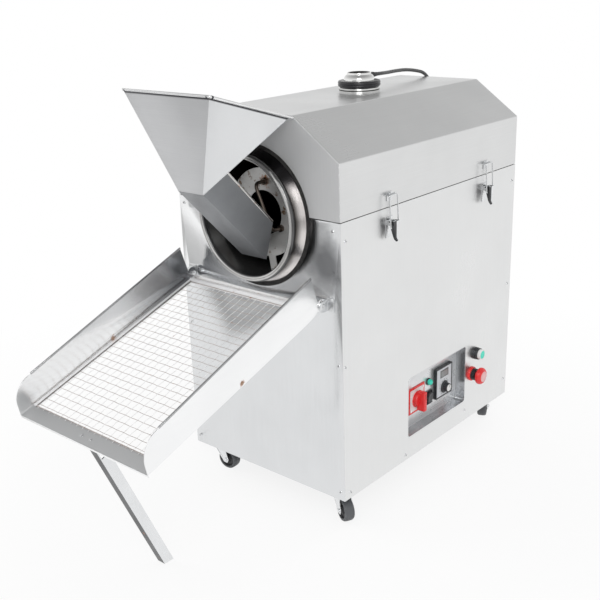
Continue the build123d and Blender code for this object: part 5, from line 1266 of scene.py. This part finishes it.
# %% Rocker
def pocketed(bm, place, out, across, high, rim, depth, ease, segments=2):
    """A case on the right side whose face is sunk inside a rim."""
    side_box(bm, place, out, across, high)
    bm.normal_update()
    front = [face for face in bm.faces if face.normal.x > 0.9]
    bmesh.ops.inset_region(bm, faces=front, thickness=rim * MM)
    bmesh.ops.translate(bm, vec=(-depth * MM, 0.0, 0.0),
                        verts=once(vert for face in front for vert in face.verts))
    bm.normal_update()
    soften(bm, bm.faces, ease, segments)


ROCKER = (342.5, 165.0)
bm = bmesh.new()
pocketed(bm, (FACE_X, *ROCKER), (0, 4), (-11, 11), (-16, 16), 3.0, 3.4, 0.5)
new_piece("rocker_frame", bm, "cabinet", ["black_plastic"], ())
eased("rocker", "rocker_key", 0.4, ["rocker_plastic"])

# %% Pilot lamp
LAMP = (340.0, 204.0)
LAMP_RING = [(0, 0), (8.5, 0), (8.5, 2.2), (7.6, 3.0), (7.0, 3.0), (7.0, 1.5), (0, 1.5)]
LAMP_LENS = [(0, 1.6), (6.8, 1.6), (6.8, 7.0), (6.2, 8.8), (4.6, 10.2), (2.4, 10.9), (0, 11.0)]
bm = bmesh.new()
turned(bm, LAMP_RING, spot(FACE_X, *LAMP), OUT, 32, 0, 0.2)
turned(bm, LAMP_LENS, spot(FACE_X, *LAMP), OUT, 32, 1)
new_piece("ready_lamp", bm, "cabinet", ["black_plastic", "green_lens"], ("pilot_lamp",))

# %% [markdown]
# ## Speed controller
# The drum's speed is set on a boxed unit: a black case, a silver face with a small display and a
# scale, and a black skirted knob with a white cap. The scale's marks are thin bars set round the
# knob, because at this size a raised mark reads better than a painted one. The knob's flutes are
# alternate points of a circle drawn in, then extruded.

# %% Speed unit
SPEED_Y, SPEED_Z = 395.0, 188.0
KNOB_Z = SPEED_Z - 14.0
CASE_DEPTH = 9.0
CASE_TOP = FACE_X + CASE_DEPTH
SCALE_START, SCALE_STEP, SCALE_R = -140.0, 28.0, 17.0
case_face = (CASE_TOP, SPEED_Y, SPEED_Z)
bm = bmesh.new()
pocketed(bm, (FACE_X, SPEED_Y, SPEED_Z), (0, CASE_DEPTH), (-33, 33), (-37, 37), 3.0, 1.5, 0.9, 3)
side_box(bm, case_face, (-2.0, -0.7), (-29.6, 29.6), (-33.6, 33.6), 0.3, 1)
side_box(bm, case_face, (-1.2, -0.2), (-16.5, 16.5), (11, 29), 0.4)
side_box(bm, case_face, (-0.8, 0.05), (-14.5, 14.5), (13, 27), 0.2, 2)
for k in range(11):
    angle = math.radians(SCALE_START + SCALE_STEP * k)
    reach = Vector((0.0, math.sin(angle), math.cos(angle)))
    long = 3.4 if k % 5 == 0 else 2.2
    middle = spot(CASE_TOP - 0.6, SPEED_Y, KNOB_Z) + reach * (SCALE_R + long / 2) * MM
    little_bar(bm, middle, (OUT * 0.5, reach * long, OUT.cross(reach) * 0.8), 0)
bmesh.ops.recalc_face_normals(bm, faces=bm.faces)
new_piece("speed_unit", bm, "cabinet", ["black_plastic", "face_silver", "display_grey"],
          ("speed_controller",))

# %% Speed dial
SKIRT = [(0, 0), (15, 0), (15, 0.8), (12.4, 3.0), (11.2, 3.6), (0, 3.6)]
CAP = [(0, 11.8), (8.4, 11.8), (8.4, 12.5), (7.6, 12.95), (0, 12.95)]
GRIP_R, GRIP_H, GRIP_BASE = 11.0, 9.0, 3.4
FLUTE, DRAFT = 0.93, 0.92
knob = (CASE_TOP - 0.1, SPEED_Y, KNOB_Z)
bm = bmesh.new()
turned(bm, SKIRT, spot(*knob), OUT, 40)
before = set(bm.faces)
ring = bmesh.ops.create_circle(bm, cap_ends=True, segments=48, radius=GRIP_R * MM)["verts"]
drawn_in = [vert for k, vert in enumerate(ring) if k % 4 < 2]
bmesh.ops.scale(bm, vec=(FLUTE, FLUTE, 1.0), verts=drawn_in)
disc = [face for face in bm.faces if face not in before]
top = moved_verts(bmesh.ops.extrude_face_region(bm, geom=disc))
bmesh.ops.translate(bm, vec=(0.0, 0.0, GRIP_H * MM), verts=top)
bmesh.ops.scale(bm, vec=(DRAFT, DRAFT, 1.0), verts=top)
fluted = once(vert for face in bm.faces if face not in before for vert in face.verts)
stand = Vector((0.0, 0.0, 1.0)).rotation_difference(OUT).to_matrix().to_4x4()
seat = Matrix.Translation(spot(knob[0] + GRIP_BASE, SPEED_Y, KNOB_Z))
bmesh.ops.transform(bm, matrix=seat @ stand, verts=fluted)
turned(bm, CAP, spot(*knob), OUT, 32, 1, 0.2)
side_box(bm, knob, (12.7, 13.0), (-0.7, 0.7), (1, 8))
bmesh.ops.recalc_face_normals(bm, faces=bm.faces)
new_piece("speed_dial", bm, "speed_knob", ["black_plastic", "white_plastic"], ("speed_knob",))

# %% [markdown]
# ## Push buttons
# The start button is a black stepped collar round a white ring with a green lens. The emergency
# stop is a red base, a ribbed black collar and a red mushroom whose face is paler. All are
# round, so each is one profile turned about the button's axis; the ribs are steps in the profile.

# %% Button collars
START, STOP = (501.0, 226.0), (485.5, 179.0)
RIB_PITCH = 1.9
START_COLLAR = [(12.4, 0.5), (14.5, 0), (14.5, 5), (13.4, 5.4), (13.4, 6.2), (13.8, 6.6),
                (13.8, 11.4), (13.2, 12), (12.4, 12), (12.4, 0.5)]
start_place, stop_place = spot(HALF_W, *START), spot(HALF_W, *STOP)
bm = bmesh.new()
turned(bm, START_COLLAR, start_place, OUT, 44, 0, 0.15)
turned(bm, [(0, 0), (17, 0), (17, 3.6), (15.6, 5.2), (0, 5.2)], stop_place, OUT, 44, 1, 0.3)
ribs = [(0, 5.0), (14.0, 5.0)]
for k in range(5):
    ribs += [(radius, rise + RIB_PITCH * k)
             for radius, rise in ((14.0, 5.6), (13.2, 6.1), (13.2, 6.5), (14.0, 7.0))]
turned(bm, ribs + [(13.5, 14.6), (8.4, 14.6), (8.4, 8), (0, 8)], stop_place, OUT, 44)
new_piece("button_rings", bm, "cabinet", ["black_plastic", "red_plastic"], ("button_collars",))

# %% Start button
START_RING = [(0, 7), (12, 7), (12, 18.2), (11.2, 19.3), (9.6, 19.5), (9.6, 18.6), (0, 18.6)]
START_LENS = [(0, 18.0), (9.5, 18.0), (9.5, 19.0), (8.6, 19.45), (0, 19.5)]
bm = bmesh.new()
turned(bm, START_RING, start_place, OUT, 44, 0, 0.2)
turned(bm, START_LENS, start_place, OUT, 44, 1, 0.1)
new_piece("start_lens", bm, "start_button", ["white_plastic", "green_lens"], ("start_button",))

# %% Emergency stop
MUSHROOM = [(0, 13.6), (8, 13.6), (8, 20), (17.5, 20), (19.2, 21), (20, 23), (20, 26), (19.0, 29),
            (16.4, 31.6), (12.5, 33.2), (9.0, 33.8), (0, 34)]
# The mushroom's outer face is a paler red.
pale_face_x = spot(HALF_W + 33.0, 0, 0).x
bm = bmesh.new()
turned(bm, MUSHROOM, stop_place, OUT, 48)
painted(bm, lambda centre, normal: int(centre.x > pale_face_x))
new_piece("stop_mushroom", bm, "stop_button", ["red_plastic", "pale_red"], ("stop_button",))

# %% [markdown]
# ## Vent and glands
# The hood's vent is a polished dome on a black rubber ring. Round profiles with enough points keep
# its reflections smooth. The lead leaves through a ribbed rubber relief that tapers to the lead, so
# it can't kink at the housing.

# %% Vent
VENT_CAP = [(22, 849), (31, 849), (31, 862), (33, 862), (33, 864.5), (32.6, 867.5), (31.4, 870),
            (29.6, 872), (27.6, 873.4), (26.2, 874.2), (26, 875), (26, 877.6), (25.4, 878.5),
            (24.1, 878.5), (23.5, 877.9), (23.5, 862), (22, 862), (22, 849)]
VENT_COLLAR = [(31.2, 849), (43.5, 849), (45.3, 850.4), (46, 852.5), (46, 854.6), (45.2, 855.4),
               (45.2, 856.0), (46, 856.8), (46, 858.6), (45.2, 860.6), (43.4, 861.8), (40, 862),
               (31.2, 862), (31.2, 849)]
vent_foot = spot(0.0, VENT_Y, 0.0)
bm = bmesh.new()
turned(bm, VENT_CAP, vent_foot, UPWARD, 64)
new_piece("vent_cap", bm, "lid", ["mirror_steel"], ("vent_dome",))
bm = bmesh.new()
turned(bm, VENT_COLLAR, vent_foot, UPWARD, 64)
new_piece("vent_collar", bm, "lid", ["black_rubber"], ("vent_ring",))

# %% Strain reliefs
BACKWARD = (0.0, 1.0, 0.0)
DOME_RELIEF = [(0, 0), (7.0, 0), (7.0, 9), (6.0, 9.6), (6.0, 12), (6.6, 12.6), (6.6, 15),
               (5.6, 15.6), (5.6, 18), (6.1, 18.6), (6.1, 21), (5.2, 21.6), (5.2, 24), (4.4, 34),
               (0, 34)]
WALL_RELIEF = [(0, 0), (8.0, 0), (8.0, 5), (6.6, 6), (6.6, 8), (7.0, 8.6), (7.0, 10.4), (5.8, 11),
               (5.8, 13), (4.5, 20), (0, 20)]
bm = bmesh.new()
turned(bm, DOME_RELIEF, spot(0, 374, 868.4), BACKWARD, 24)
turned(bm, WALL_RELIEF, spot(-36, 653.9, 734), BACKWARD, 24)
new_piece("lead_reliefs", bm, "lid", ["black_rubber"], ("cord_glands",))

# %% [markdown]
# ## Casters
# Each caster wheel has a grey tread on a black core with a recessed web and a hub. A wheel is one
# turned profile whose faces are given the tread or the core finish by their radius. The forks keep
# the frame's form with eased edges, and the brake pedals at the back are black.

# %% Brake pad
PAD_SIZE = (0.017, 0.0138, 0.0045)
PAD_TAPER, PAD_TILT = 1.5, math.radians(-28.0)
PAD_OUT, PAD_Z = 0.0365, 57.2


def brake_pad(name, x, y, turn, trail):
    """The thick rubber end of a brake pedal."""
    bm = bmesh.new()
    verts = bmesh.ops.create_cube(bm, size=1.0)["verts"]
    bmesh.ops.scale(bm, vec=PAD_SIZE, verts=verts)
    inner = [vert for vert in verts if vert.co.x < 0.0]
    bmesh.ops.scale(bm, vec=(1.0, 1.0, PAD_TAPER), verts=inner)
    soften(bm, bm.faces, 0.8)
    tilted = Matrix.Rotation(turn, 4, "Z") @ Matrix.Rotation(PAD_TILT, 4, "Y")
    bm.transform(Matrix.Translation(spot(x, y, PAD_Z) + trail * PAD_OUT) @ tilted)
    new_piece(name + "_brake_pad", bm, name + "_fork", ["wheel_core"], ())


# %% Caster
WHEEL_R = 25.0
TRAIL = 18.0
CORE_R = 0.0179
PEDAL_OUT, PEDAL_Z = 0.0265, 0.040
HALF_TREAD = [(4.1, -9.5), (8.5, -9.5), (9.2, -8.8), (9.6, -7.2), (16.4, -6.6), (17.4, -8.4),
              (18.4, -10.6), (20.5, -11), (22.8, -10.4), (24.4, -8.2), (25, -5)]
TREAD = HALF_TREAD + [(radius, -out) for radius, out in reversed(HALF_TREAD)] + [HALF_TREAD[0]]


def caster(name, x, y, heading):
    """Tyre and fork of one caster, turned to its heading in degrees; the rear ones have brakes."""
    turn = math.radians(heading)
    trail = Vector((math.cos(turn), math.sin(turn), 0.0))
    axle = Vector((-trail.y, trail.x, 0.0))
    hub = spot(x, y, WHEEL_R) + trail * TRAIL * MM

    def tyre_coat(centre, normal):
        """Grey tread outside, black core inside."""
        arm = centre - hub
        return 0 if (arm - axle * arm.dot(axle)).length > CORE_R else 1

    def fork_coat(centre, normal):
        """Black brake pedal, zinc fork."""
        return int((centre - spot(x, y, 0.0)).dot(trail) > PEDAL_OUT and centre.z > PEDAL_Z)

    bm = bmesh.new()
    turned(bm, TREAD, hub, axle, 48)
    painted(bm, tyre_coat)
    new_piece(name + "_tyre", bm, name + "_wheel", ["wheel_rubber", "wheel_core"],
              (name + "_wheel",))
    if name.startswith("rear"):
        brake_pad(name, x, y, turn, trail)
    eased(name + "_fork", name + "_yoke", CUT_EASE, ["bright_zinc", "wheel_core"],
          paint=fork_coat)


# %% Casters
CASTER_SPOTS = {"front_right": (176.0, 41.0, -27.0), "front_left": (-176.0, 41.0, 5.0),
                "rear_right": (176.0, 613.0, 115.0), "rear_left": (-176.0, 613.0, 100.0)}
for name, values in CASTER_SPOTS.items():
    caster(name, *values)
